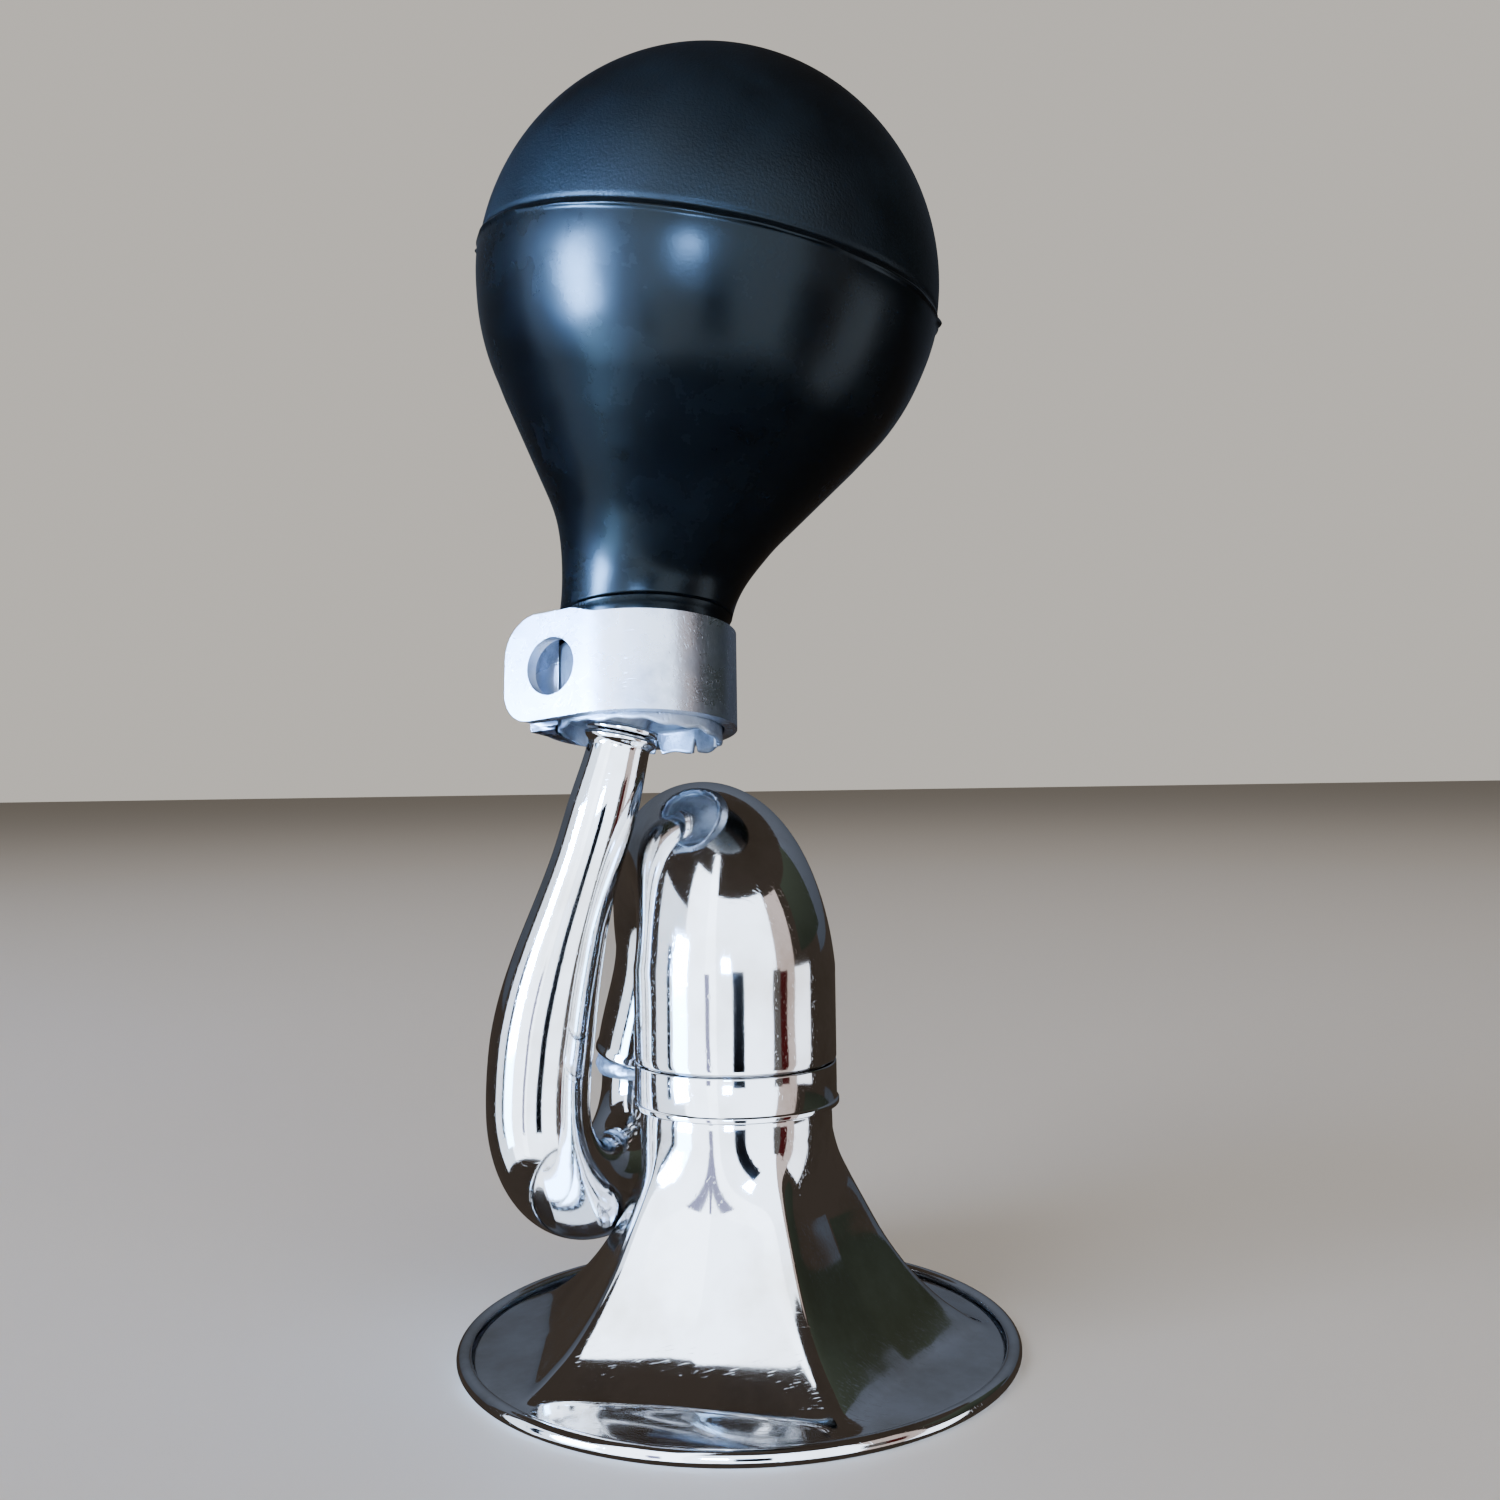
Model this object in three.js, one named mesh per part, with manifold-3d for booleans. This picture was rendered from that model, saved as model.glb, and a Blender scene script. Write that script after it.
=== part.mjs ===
// Squeeze bulb horn, standing on the rim of its bell.
//
// Millimetres, +Z up. The origin is the centre of the bell's rim, on the surface it stands on. -Y is the
// front. The air way runs from the rubber bulb through a reed in its neck, down the lead pipe, round a
// lower turn, up the riser, over the upper bend and down into the five-sided bell.
import * as THREE from 'three';
import { mergeVertices } from 'three/addons/utils/BufferGeometryUtils.js';
import Module from 'manifold-3d';

// ---------------------------------------------------------------- driving dimensions

const SHEET = 0.6; // wall of the pressed brass sheet
const SEAT_GAP = 0.3; // clearance between pieces that touch
const JOINT_PLAY = 0.4; // clearance all round of pieces that slide together
const DEG = Math.PI / 180;

// Bell
const BELL_SIDES = 5;
const RIDGE_TURN = 21.5 * DEG; // how far the first ridge is turned from the front
const RIM_RADIUS = 42.5; // outside of the rolled rim
const BEAD_RADIUS = 1.2; // section of the rolled rim
const BEAD_SHEET = 0.45; // sheet in the roll, drawn thinner
const BEAD_FOOT = 1.0; // width of the flat the rim stands on
const BEAD_JOIN = -150 * DEG; // where the brim runs into the roll
const BEAD_CURL_END = 125 * DEG; // where the roll ends over the brim
const RIM_WIRE_RADIUS = 0.5;
const NECK_RADIUS = 14.4; // sleeve of the bell inside the collar
const THROAT_RADIUS = NECK_RADIUS + 0.2; // round part of the bell below its collar
const THROAT_TOP = 35.5; // where the sleeve widens to the throat
const SLEEVE_TOP = 49; // height of the sleeve's end, inside the upper bend
const BELL_RIDGE = [
  // a ridge of the flare, as [share of the way from the throat to the rim's roll, height]
  [0.0037, 32.3],
  [0.0412, 29.0],
  [0.1011, 25.6],
  [0.1760, 21.8],
  [0.2734, 17.0],
  [0.3558, 13.6],
  [0.4419, 10.6],
  [0.5356, 7.9],
  [0.6255, 5.7],
  [0.7116, 4.1],
  [0.8015, 2.8],
  [0.8839, 1.8],
  [0.9363, 1.25],
];
const ROUND_ABOVE = 34.5; // the throat is round above this height
const SIDED_BELOW = 21.5; // and fully five-sided below this one
const SIDED_RADIUS = RIM_RADIUS - 6; // the brim starts to turn round again here
const ROUND_RADIUS = RIM_RADIUS - 3.1; // and is round here

// Collar between the bell and the upper bend
const COLLAR_BOTTOM = 37.0;
const COLLAR_TOP = 43.5;
const COLLAR_BEAD_HEIGHT = 0.9;
const COLLAR_BEAD_PROUD = 0.35;

// Folded tube, outside radii along the air way
const PIPE_TOP_RADIUS = 4.8;
const PIPE_WAIST_RADIUS = 5.45; // where the lead pipe starts to swell
const TURN_RADIUS = 8.1; // as it enters the lower turn
const RISER_RADIUS = 8.3;
const BEND_START_RADIUS = RISER_RADIUS + JOINT_PLAY + SHEET; // upper bend, at the riser
const BEND_END_RADIUS = NECK_RADIUS + JOINT_PLAY + SHEET; // upper bend, at the collar
const PIPE_LIP_PROUD = 0.9;
const PIPE_LIP_LENGTH = 1.4;
const WAIST_SHARE = 0.22; // share of the lead pipe over which it widens to the waist
const SWELL_START = 0.3; // and where it starts and stops swelling to the turn
const SWELL_END = 0.86;

// Places of the folded tube
const PIPE_TOP = new THREE.Vector3(-17.0, 3.2, 93.2);
const PIPE_LEAN_RIGHT = 12 * DEG;
const PIPE_LEAN_BACK = 6 * DEG;
const TURN_HEIGHT = 35.2; // height of the lower turn's centre
const PIPE_FOOT = new THREE.Vector3(-31.0, 5.6, TURN_HEIGHT);
const RISER_FOOT = new THREE.Vector3(-15.3, 33.0, TURN_HEIGHT);
const BEND_HEIGHT = 57.8; // height of the upper bend's centre
const RISER_HEAD = new THREE.Vector3(-11.2, 28.8, BEND_HEIGHT);
const JOINT_HEIGHT = 38.6; // lower lip of the upper bend on the riser
const JOINT_OVERLAP = 6.5; // riser inside the upper bend
const LEAD_PULL = 0.34; // how far the lead pipe holds its end directions, as a share of its span
const RISER_PULL = 0.33;

// Solder round the riser's joint
const SOLDER_LENGTH = 3.0;
const SOLDER_PROUD = 0.8;
const SOLDER_EDGE = 0.4; // thickness of the bead at its two ends

// Neck clamp
const CLAMP_FOOT = new THREE.Vector3(-14.2, 4.5, 93.9); // centre of the strap's lower edge
const CLAMP_LEAN_BACK = 11.3 * DEG;
const STRAP_HEIGHT = 15.3;
const STRAP_INNER_RADIUS = 13.2;
const STRAP_THICKNESS = 2.0;
const EAR_TURN = 32 * DEG; // where the ear leaves the ring, left of the front
const EAR_LENGTH = 14.5; // from the tangent point to the tip
const EAR_RISE = 1.2; // ear above the strap's upper edge
const EAR_RISE_REACH = -3; // where the raised edge has come down, from the tangent point
const EAR_RISE_RUN = 5; // length over which it comes down
const EAR_UPPER_CORNER = 6.2;
const EAR_LOWER_CORNER = 4.8;
const EAR_HOLE_RADIUS = 4.5;
const EAR_HOLE_HEIGHT = 8.0; // hole centre above the strap's lower edge
const EAR_HOLE_REACH = 5.6; // hole centre from the tangent point
const EAR_GAP = 2.3; // between the two ears

// Neck cup
const CUP_RADIUS = STRAP_INNER_RADIUS - JOINT_PLAY;
const CUP_WALL = 0.7;
const CUP_TOP = 12.6; // above the strap's lower edge
const CUP_FLOOR = 2.4; // underside of the floor above the strap's lower edge
const CUP_SKIRT = 2.0; // deepest hang of the skirt below the strap
const CUP_FLOOR_WALL = 0.7;
const SKIRT_SLIT = 1.1; // width of a slit in the skirt
const SKIRT_SLIT_TOP = -0.4; // height at which the slits end
const SKIRT_SLIT_TURNS = [20 * DEG, 48 * DEG, 80 * DEG];
const SKIRT_DIP = 4.5 * DEG; // the skirt hangs lower to the right

// Reed
const SOCKET_RADIUS = 4.4;
const SOCKET_BORE = 2.9;
const SOCKET_FLANGE = 1.0; // thickness
const SPIGOT_LENGTH = 8;
const SOCKET_REACH = 13; // above the lead pipe's end
const SHALLOT_RADIUS = 2.6;
const SHALLOT_BORE = 1.5;
const SHALLOT_LENGTH = 23;
const SHALLOT_FOOT = 3; // above the lead pipe's end
const SHALLOT_FLAT = 0.9; // flat's distance from the axis
const SHALLOT_CAP = 1.2; // thickness of its closed end
const TONGUE_WIDTH = 3.6;
const TONGUE_LENGTH = 13.5;
const TONGUE_THICKNESS = 0.35;
const TONGUE_LIFT = 0.5; // how far its free end stands off
const TONGUE_BEND = 0.6; // share of its length at which it bends most
const CLIP_LENGTH = 3.2;
const CLIP_WALL = 0.8;

// Rubber bulb
const BULB_RADIUS = 35.9;
const BULB_WALL = 2.6;
const BULB_NECK_RADIUS = 13.6; // just above the strap
const BULB_NECK_BORE = 8.2;
const BULB_NECK_WALL = 3.4;
const NECK_STEP = 0.8; // height over which the neck swells out above the clamp
const NECK_THICK_RUN = 9; // height over which the neck's wall thins above the clamp
const BULB_CONE = 34.8 * DEG; // half angle between the ball and the neck
const BULB_APEX = 99.396; // height of the point the cone runs to
const BULB_CENTRE = new THREE.Vector3(-2.5, 4.9, BULB_APEX + BULB_RADIUS / Math.sin(BULB_CONE));
const NECK_FILLET = 28; // radius of the hollow under the ball
const SEAM_PROUD = 0.5;
const SEAM_HEIGHT = 1.1;
const SEAM_SPREAD = 2 * DEG; // half angle the seam takes on the ball
const SEAM_LEAN_RIGHT = 10.3 * DEG; // tilt of the ring the seam lies on
const HEIGHT_MATCH = 1e-3; // two heights closer than this are the same

// Facets
const ROUND_TUBE = 20;
const ROUND_BELL = 50;
const ROUND_BULB = 32;
const ROUND_SMALL = 24;

// ---------------------------------------------------------------- small helpers

const wasm = await Module();
wasm.setup();

const horn = new THREE.Group();

const CHROME = { color: 0xdfe2e6, roughness: 0.08, metalness: 1.0 };
const BRASS = { color: 0xb08d4a, roughness: 0.3, metalness: 1.0 };
const SOLDER = { color: 0x8d8f92, roughness: 0.5, metalness: 1.0 };
const SATIN = { color: 0xb9bdc4, roughness: 0.38, metalness: 1.0 };
const DULL = { color: 0x8b9099, roughness: 0.5, metalness: 1.0 };
const RUBBER = { color: 0x14181a, roughness: 0.5, metalness: 0.0 };

/** Adds one named piece to a group. */
function addPiece(group, name, geometry, finish) {
  const mesh = new THREE.Mesh(geometry, new THREE.MeshStandardMaterial(finish));
  mesh.name = name;
  group.add(mesh);
  return mesh;
}

/** Revolves [radius, height] pairs round Z. The profile closes on itself or ends on the axis. */
function revolve(profile, segments, start = 0) {
  const points = profile.map(([radius, height]) => new THREE.Vector2(radius, height));
  const geometry = new THREE.LatheGeometry(points, segments, start);
  geometry.rotateX(Math.PI / 2);
  return geometry;
}

/** Points of an arc from one angle to another, as [radius, height] pairs. */
function arcPoints(centre, radius, from, to, steps) {
  const points = [];
  for (let i = 0; i <= steps; i += 1) {
    const angle = from + ((to - from) * i) / steps;
    points.push([centre[0] + radius * Math.cos(angle), centre[1] + radius * Math.sin(angle)]);
  }
  return points;
}

/** Turns a closed geometry into a solid that can be cut and joined. */
function toSolid(geometry) {
  const bare = geometry.clone();
  bare.deleteAttribute('normal');
  bare.deleteAttribute('uv');
  const merged = mergeVertices(bare, 1e-4);
  return new wasm.Manifold(
    new wasm.Mesh({
      numProp: 3,
      vertProperties: new Float32Array(merged.attributes.position.array),
      triVerts: new Uint32Array(merged.index.array),
    }),
  );
}

/** Turns a solid back into a geometry. */
function toGeometry(solid) {
  const mesh = solid.getMesh();
  const geometry = new THREE.BufferGeometry();
  geometry.setAttribute('position', new THREE.BufferAttribute(mesh.vertProperties, 3));
  geometry.setIndex(new THREE.BufferAttribute(mesh.triVerts, 1));
  geometry.computeVertexNormals();
  return geometry;
}

/** Smooth step from 0 at a to 1 at b. */
function ease(value, a, b) {
  const t = Math.min(Math.max((value - a) / (b - a), 0), 1);
  return t * t * (3 - 2 * t);
}

/** A direction that leans to the right and to the back of straight up. */
function leaning(right, back) {
  return new THREE.Vector3(Math.tan(right), Math.tan(back), 1).normalize();
}

// ---------------------------------------------------------------- the air way

/** Half a turn in an upright plane, up (+1) or down (-1), between two points at one height. */
class HalfTurn extends THREE.Curve {
  constructor(start, end, sense) {
    super();
    this.centre = start.clone().add(end).multiplyScalar(0.5);
    this.arm = start.clone().sub(this.centre);
    this.sense = sense;
  }

  getPoint(t) {
    const angle = Math.PI * t;
    const point = this.centre.clone().addScaledVector(this.arm, Math.cos(angle));
    point.z += this.sense * this.arm.length() * Math.sin(angle);
    return point;
  }
}

/** A smooth run between two points, leaving and arriving along given directions. */
function softRun(start, leave, end, arrive, pull) {
  const reach = start.distanceTo(end) * pull;
  return new THREE.CubicBezierCurve3(
    start,
    start.clone().addScaledVector(leave, reach),
    end.clone().addScaledVector(arrive, -reach),
    end,
  );
}

const UP = new THREE.Vector3(0, 0, 1);
const DOWN = new THREE.Vector3(0, 0, -1);
const pipeAxis = leaning(PIPE_LEAN_RIGHT, PIPE_LEAN_BACK);
const bendEnd = new THREE.Vector3(0, 0, BEND_HEIGHT);

const leadRun = softRun(PIPE_TOP, pipeAxis.clone().negate(), PIPE_FOOT, DOWN, LEAD_PULL);
const lowerTurn = new HalfTurn(PIPE_FOOT, RISER_FOOT, -1);
const riserRun = softRun(RISER_FOOT, UP, RISER_HEAD, UP, RISER_PULL);
const upperTurn = new HalfTurn(RISER_HEAD, bendEnd, 1);
const frontRun = new THREE.LineCurve3(bendEnd, new THREE.Vector3(0, 0, COLLAR_TOP + SEAT_GAP));

/** How far along the riser's run a height lies, 0 to 1. */
function riserShareAt(height) {
  const rise = RISER_HEAD.z - RISER_FOOT.z;
  let share = (height - RISER_FOOT.z) / rise;
  for (let i = 0; i < 8; i += 1) {
    share -= (riserRun.getPointAt(share).z - height) / rise;
  }
  return share;
}

/** Stations along part of a curve: where, which way, and how wide there. */
function stationsOn(curve, from, to, steps, radiusAt) {
  const stations = [];
  for (let i = 0; i <= steps; i += 1) {
    const share = from + ((to - from) * i) / steps;
    stations.push({
      point: curve.getPointAt(share),
      tangent: curve.getTangentAt(share),
      radius: radiusAt(share),
    });
  }
  return stations;
}

/** Drops a station that repeats the one before it. */
function chain(...runs) {
  const stations = [];
  for (const run of runs) {
    stations.push(...(stations.length > 0 ? run.slice(1) : run));
  }
  return stations;
}

/** A closed tube wall through stations: a lathe of the straightened wall, bent onto them. */
function bentShell(stations, wall, segments) {
  const last = stations.length - 1;
  const outer = stations.map((station, i) => [station.radius, i]);
  const inner = stations.map((station, i) => [station.radius - (station.wall ?? wall), i]);
  inner.reverse();
  const geometry = revolve([...outer, ...inner, outer[0]], segments);
  const frames = carryFrames(stations);
  const position = geometry.attributes.position;
  for (let i = 0; i < position.count; i += 1) {
    const index = Math.min(Math.max(Math.round(position.getZ(i)), 0), last);
    const { side, other } = frames[index];
    const place = stations[index].point
      .clone()
      .addScaledVector(side, position.getX(i))
      .addScaledVector(other, position.getY(i));
    position.setXYZ(i, place.x, place.y, place.z);
  }
  geometry.computeVertexNormals();
  return geometry;
}

/** Two directions across the tube at each station, carried along it without twist. */
function carryFrames(stations) {
  const first = stations[0].tangent;
  const guide = Math.abs(first.y) < 0.9 ? new THREE.Vector3(0, 1, 0) : new THREE.Vector3(1, 0, 0);
  let side = guide.cross(first).normalize();
  let before = first;
  return stations.map(({ tangent }) => {
    const turn = new THREE.Quaternion().setFromUnitVectors(before, tangent);
    side = side.clone().applyQuaternion(turn);
    side.addScaledVector(tangent, -side.dot(tangent)).normalize();
    before = tangent;
    return { side, other: tangent.clone().cross(side) };
  });
}

// ---------------------------------------------------------------- bell

/** Radius factor of the flat sides, where azimuth 0 is the front of the bell and ridges reach 1. */
function sidedFactor(azimuth, strength) {
  const half = Math.PI / BELL_SIDES;
  const fromRidge = THREE.MathUtils.euclideanModulo(azimuth - RIDGE_TURN, 2 * half);
  const factor = Math.cos(half) / Math.cos(fromRidge - half);
  return 1 + (factor - 1) * strength;
}

/** Moves each point of a closed line to one side of it. */
function offsetLine(line, distance) {
  return line.map((point, i) => {
    const before = line[Math.max(i - 1, 0)];
    const after = line[Math.min(i + 1, line.length - 1)];
    const along = new THREE.Vector2(after[0] - before[0], after[1] - before[1]).normalize();
    return [point[0] + along.y * distance, point[1] - along.x * distance];
  });
}

const beadFoot = Math.asin(BEAD_FOOT / 2 / BEAD_RADIUS);
const beadCentre = [RIM_RADIUS - BEAD_RADIUS, BEAD_RADIUS * Math.cos(beadFoot)];

/** The bell: sleeve, throat, five-sided flare and a rim rolled back over its wire. */
function bellGeometry() {
  const spread = beadCentre[0] - THROAT_RADIUS;
  const back = [
    [NECK_RADIUS, SLEEVE_TOP],
    [NECK_RADIUS, COLLAR_BOTTOM - SEAT_GAP],
    [THROAT_RADIUS, THROAT_TOP],
    ...BELL_RIDGE.map(([share, height]) => [THROAT_RADIUS + share * spread, height]),
  ];
  const mouth = offsetLine(back, SHEET).reverse();
  const foot = -90 * DEG;
  const inside = arcPoints(beadCentre, BEAD_RADIUS - BEAD_SHEET, BEAD_JOIN, BEAD_CURL_END, 10);
  const outside = [
    ...arcPoints(beadCentre, BEAD_RADIUS, BEAD_CURL_END, foot + beadFoot, 8),
    ...arcPoints(beadCentre, BEAD_RADIUS, foot - beadFoot, BEAD_JOIN, 2),
  ];
  const profile = [...back, ...inside, ...outside, ...mouth, back[0]].reverse();
  const geometry = revolve(profile, ROUND_BELL, RIDGE_TURN);
  const position = geometry.attributes.position;
  for (let i = 0; i < position.count; i += 1) {
    const [x, y, z] = [position.getX(i), position.getY(i), position.getZ(i)];
    const radius = Math.hypot(x, y);
    const strength = ease(z, ROUND_ABOVE, SIDED_BELOW) * (1 - ease(radius, SIDED_RADIUS, ROUND_RADIUS));
    const factor = sidedFactor(Math.atan2(x, -y), strength);
    position.setXYZ(i, x * factor, y * factor, z);
  }
  geometry.computeVertexNormals();
  return geometry;
}

/** The steel wire inside the rolled rim. */
function rimWireGeometry() {
  const ring = arcPoints(beadCentre, RIM_WIRE_RADIUS, 0, 2 * Math.PI, 6);
  return revolve(ring, ROUND_BELL);
}

/** The collar: a ring over the bell's sleeve, with a small bead at its lower edge. */
function collarGeometry() {
  const proud = BEND_END_RADIUS + COLLAR_BEAD_PROUD;
  const beadTop = COLLAR_BOTTOM + COLLAR_BEAD_HEIGHT;
  const inner = NECK_RADIUS + SEAT_GAP;
  return revolve(
    [
      [inner, COLLAR_BOTTOM],
      [BEND_END_RADIUS, COLLAR_BOTTOM],
      [proud, COLLAR_BOTTOM + COLLAR_BEAD_HEIGHT / 3],
      [proud, beadTop - COLLAR_BEAD_HEIGHT / 3],
      [BEND_END_RADIUS, beadTop],
      [BEND_END_RADIUS, COLLAR_TOP],
      [inner, COLLAR_TOP],
      [inner, COLLAR_BOTTOM],
    ],
    ROUND_BELL,
  );
}

// ---------------------------------------------------------------- folded tube

/** Outside radius of the lead pipe, from its reed end (0) to the lower turn (1). */
function leadRadius(share) {
  const slim = PIPE_TOP_RADIUS + (PIPE_WAIST_RADIUS - PIPE_TOP_RADIUS) * ease(share, 0, WAIST_SHARE);
  return slim + (TURN_RADIUS - slim) * ease(share, SWELL_START, SWELL_END);
}

/** The lead tube: lead pipe, lower turn and riser in one bent piece, with a lip at the reed end. */
function leadTubeGeometry() {
  const length = leadRun.getLength();
  const lip = stationsOn(leadRun, 0, PIPE_LIP_LENGTH / length, 2, () => PIPE_TOP_RADIUS + PIPE_LIP_PROUD);
  for (const station of lip) {
    station.wall = SHEET + PIPE_LIP_PROUD;
  }
  lip[2].radius = PIPE_TOP_RADIUS;
  lip[2].wall = SHEET;
  const jointShare = riserShareAt(JOINT_HEIGHT + JOINT_OVERLAP);
  const stations = chain(
    lip,
    stationsOn(leadRun, PIPE_LIP_LENGTH / length, 1, 13, leadRadius),
    stationsOn(lowerTurn, 0, 1, 14, (t) => TURN_RADIUS + (RISER_RADIUS - TURN_RADIUS) * t),
    stationsOn(riserRun, 0, jointShare, 4, () => RISER_RADIUS),
  );
  return bentShell(stations, SHEET, ROUND_TUBE);
}

/** The upper bend, from its lip round the riser to the seam above the collar. */
function upperBendGeometry() {
  const from = riserShareAt(JOINT_HEIGHT);
  const stations = chain(
    stationsOn(riserRun, from, 1, 5, () => BEND_START_RADIUS),
    stationsOn(upperTurn, 0, 1, 16, (t) => BEND_START_RADIUS * (1 - t) + BEND_END_RADIUS * t),
    stationsOn(frontRun, 0, 1, 3, () => BEND_END_RADIUS),
  );
  return bentShell(stations, SHEET, ROUND_SMALL);
}

/** The bead of solder under the upper bend's lip, round the riser. */
function jointSolderGeometry() {
  const top = riserShareAt(JOINT_HEIGHT - SEAT_GAP);
  const bottom = riserShareAt(JOINT_HEIGHT - SEAT_GAP - SOLDER_LENGTH);
  const inner = RISER_RADIUS + SEAT_GAP;
  const stations = stationsOn(riserRun, bottom, top, 4, (share) => {
    const swell = Math.sin((Math.PI * (share - bottom)) / (top - bottom));
    return inner + SOLDER_EDGE + (SOLDER_PROUD - SOLDER_EDGE) * swell;
  });
  for (const station of stations) {
    station.wall = station.radius - inner;
  }
  return bentShell(stations, SHEET, ROUND_SMALL);
}

// ---------------------------------------------------------------- reed

const pipeFrame = new THREE.Group();
pipeFrame.position.copy(PIPE_TOP);
pipeFrame.quaternion.setFromUnitVectors(UP, pipeAxis);
horn.add(pipeFrame);

/** The reed socket: a spigot in the lead pipe, a flange on its end and a tube into the neck. */
function reedSocketGeometry() {
  const spigot = PIPE_TOP_RADIUS - SHEET - SEAT_GAP;
  const flange = PIPE_TOP_RADIUS + PIPE_LIP_PROUD;
  return revolve(
    [
      [SOCKET_BORE, -SPIGOT_LENGTH],
      [spigot, -SPIGOT_LENGTH],
      [spigot, SEAT_GAP],
      [flange, SEAT_GAP],
      [flange, SEAT_GAP + SOCKET_FLANGE],
      [SOCKET_RADIUS, SEAT_GAP + SOCKET_FLANGE],
      [SOCKET_RADIUS, SOCKET_REACH],
      [SOCKET_BORE, SOCKET_REACH],
      [SOCKET_BORE, -SPIGOT_LENGTH],
    ],
    ROUND_SMALL,
  );
}

/** The shallot: a brass tube cut flat along one side, where the tongue beats. */
function shallotGeometry() {
  const top = SHALLOT_FOOT + SHALLOT_LENGTH;
  const rod = toSolid(closedRod(SHALLOT_RADIUS, SHALLOT_FOOT, top));
  const bore = toSolid(closedRod(SHALLOT_BORE, SHALLOT_FOOT - 1, top - SHALLOT_CAP));
  const flatStart = SOCKET_REACH + SEAT_GAP;
  const flat = new THREE.BoxGeometry(4 * SHALLOT_RADIUS, 2 * SHALLOT_RADIUS, top - flatStart + 2);
  flat.translate(0, -SHALLOT_FLAT - SHALLOT_RADIUS, (top + 2 + flatStart) / 2);
  return toGeometry(rod.subtract(bore).subtract(toSolid(flat)));
}

/** A plain round rod along Z. */
function closedRod(radius, bottom, top) {
  return revolve(
    [
      [0, bottom],
      [radius, bottom],
      [radius, top],
      [0, top],
    ],
    ROUND_SMALL,
  );
}

const tongueRoot = SOCKET_REACH + 2 * SEAT_GAP;
const tongueFace = -SHALLOT_FLAT - SEAT_GAP;

/** The tongue: a thin brass strip over the shallot's flat, lifted a little at its free end. */
function tongueGeometry() {
  const tip = tongueRoot + TONGUE_LENGTH;
  const bend = tongueRoot + TONGUE_BEND * TONGUE_LENGTH;
  const back = tongueFace - TONGUE_THICKNESS;
  const outline = new THREE.Shape();
  outline.moveTo(tongueFace, tongueRoot);
  outline.quadraticCurveTo(tongueFace, bend, tongueFace - TONGUE_LIFT, tip);
  outline.lineTo(back - TONGUE_LIFT, tip);
  outline.quadraticCurveTo(back, bend, back, tongueRoot);
  outline.closePath();
  const geometry = new THREE.ExtrudeGeometry(outline, {
    depth: TONGUE_WIDTH,
    bevelEnabled: false,
    curveSegments: 6,
  });
  // The outline's first axis becomes Y and its second Z, and the extrusion runs along X.
  geometry.applyMatrix4(new THREE.Matrix4().makeBasis(
    new THREE.Vector3(0, 1, 0),
    new THREE.Vector3(0, 0, 1),
    new THREE.Vector3(1, 0, 0),
  ));
  geometry.translate(-TONGUE_WIDTH / 2, 0, 0);
  return geometry;
}

/** The clip that holds the tongue's root against the shallot. */
function reedClipGeometry() {
  const inner = Math.hypot(TONGUE_WIDTH / 2, -tongueFace + TONGUE_THICKNESS) + SEAT_GAP;
  const radius = Math.max(inner, SHALLOT_RADIUS + SEAT_GAP);
  return revolve(
    [
      [radius, tongueRoot + SEAT_GAP],
      [radius + CLIP_WALL, tongueRoot + SEAT_GAP],
      [radius + CLIP_WALL, tongueRoot + SEAT_GAP + CLIP_LENGTH],
      [radius, tongueRoot + SEAT_GAP + CLIP_LENGTH],
      [radius, tongueRoot + SEAT_GAP],
    ],
    ROUND_SMALL,
  );
}

// ---------------------------------------------------------------- neck clamp and cup

const clampFrame = new THREE.Group();
clampFrame.position.copy(CLAMP_FOOT);
clampFrame.rotation.x = -CLAMP_LEAN_BACK;
clampFrame.updateMatrixWorld(true);
horn.add(clampFrame);

/** An upright prism over an outline in the clamp's plan. */
function prism(outline, bottom, height) {
  const geometry = new THREE.ExtrudeGeometry(outline, {
    depth: height,
    bevelEnabled: false,
    curveSegments: 24,
  });
  geometry.translate(0, 0, bottom);
  return geometry;
}

/** A plan point from its distance along the ear and its distance from the neck's axis. */
function earPoint(along, away) {
  const left = new THREE.Vector2(-Math.cos(EAR_TURN), Math.sin(EAR_TURN));
  const front = new THREE.Vector2(-Math.sin(EAR_TURN), -Math.cos(EAR_TURN));
  return left.multiplyScalar(along).add(front.multiplyScalar(away));
}

/** The strap's plan: a ring with two ears, the front one tangent and the rear one set behind it. */
function strapOutline() {
  const outer = STRAP_INNER_RADIUS + STRAP_THICKNESS;
  const rearFace = STRAP_INNER_RADIUS - EAR_GAP;
  const rearBack = rearFace - STRAP_THICKNESS;
  const frontAngle = -Math.PI / 2 - EAR_TURN;
  const innerMeet = Math.acos(rearFace / STRAP_INNER_RADIUS);
  const outerMeet = Math.acos(rearBack / outer);
  const outline = new THREE.Shape();
  const tip = earPoint(EAR_LENGTH, outer);
  const tangent = earPoint(0, outer);
  outline.moveTo(tip.x, tip.y);
  outline.lineTo(tangent.x, tangent.y);
  outline.absarc(0, 0, outer, frontAngle, frontAngle + 2 * Math.PI - outerMeet, false);
  for (const [along, away] of [
    [EAR_LENGTH, rearBack],
    [EAR_LENGTH, rearFace],
  ]) {
    const corner = earPoint(along, away);
    outline.lineTo(corner.x, corner.y);
  }
  outline.absarc(0, 0, STRAP_INNER_RADIUS, frontAngle - innerMeet + 2 * Math.PI, frontAngle, true);
  const inside = earPoint(EAR_LENGTH, STRAP_INNER_RADIUS);
  outline.lineTo(inside.x, inside.y);
  outline.closePath();
  return outline;
}

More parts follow.
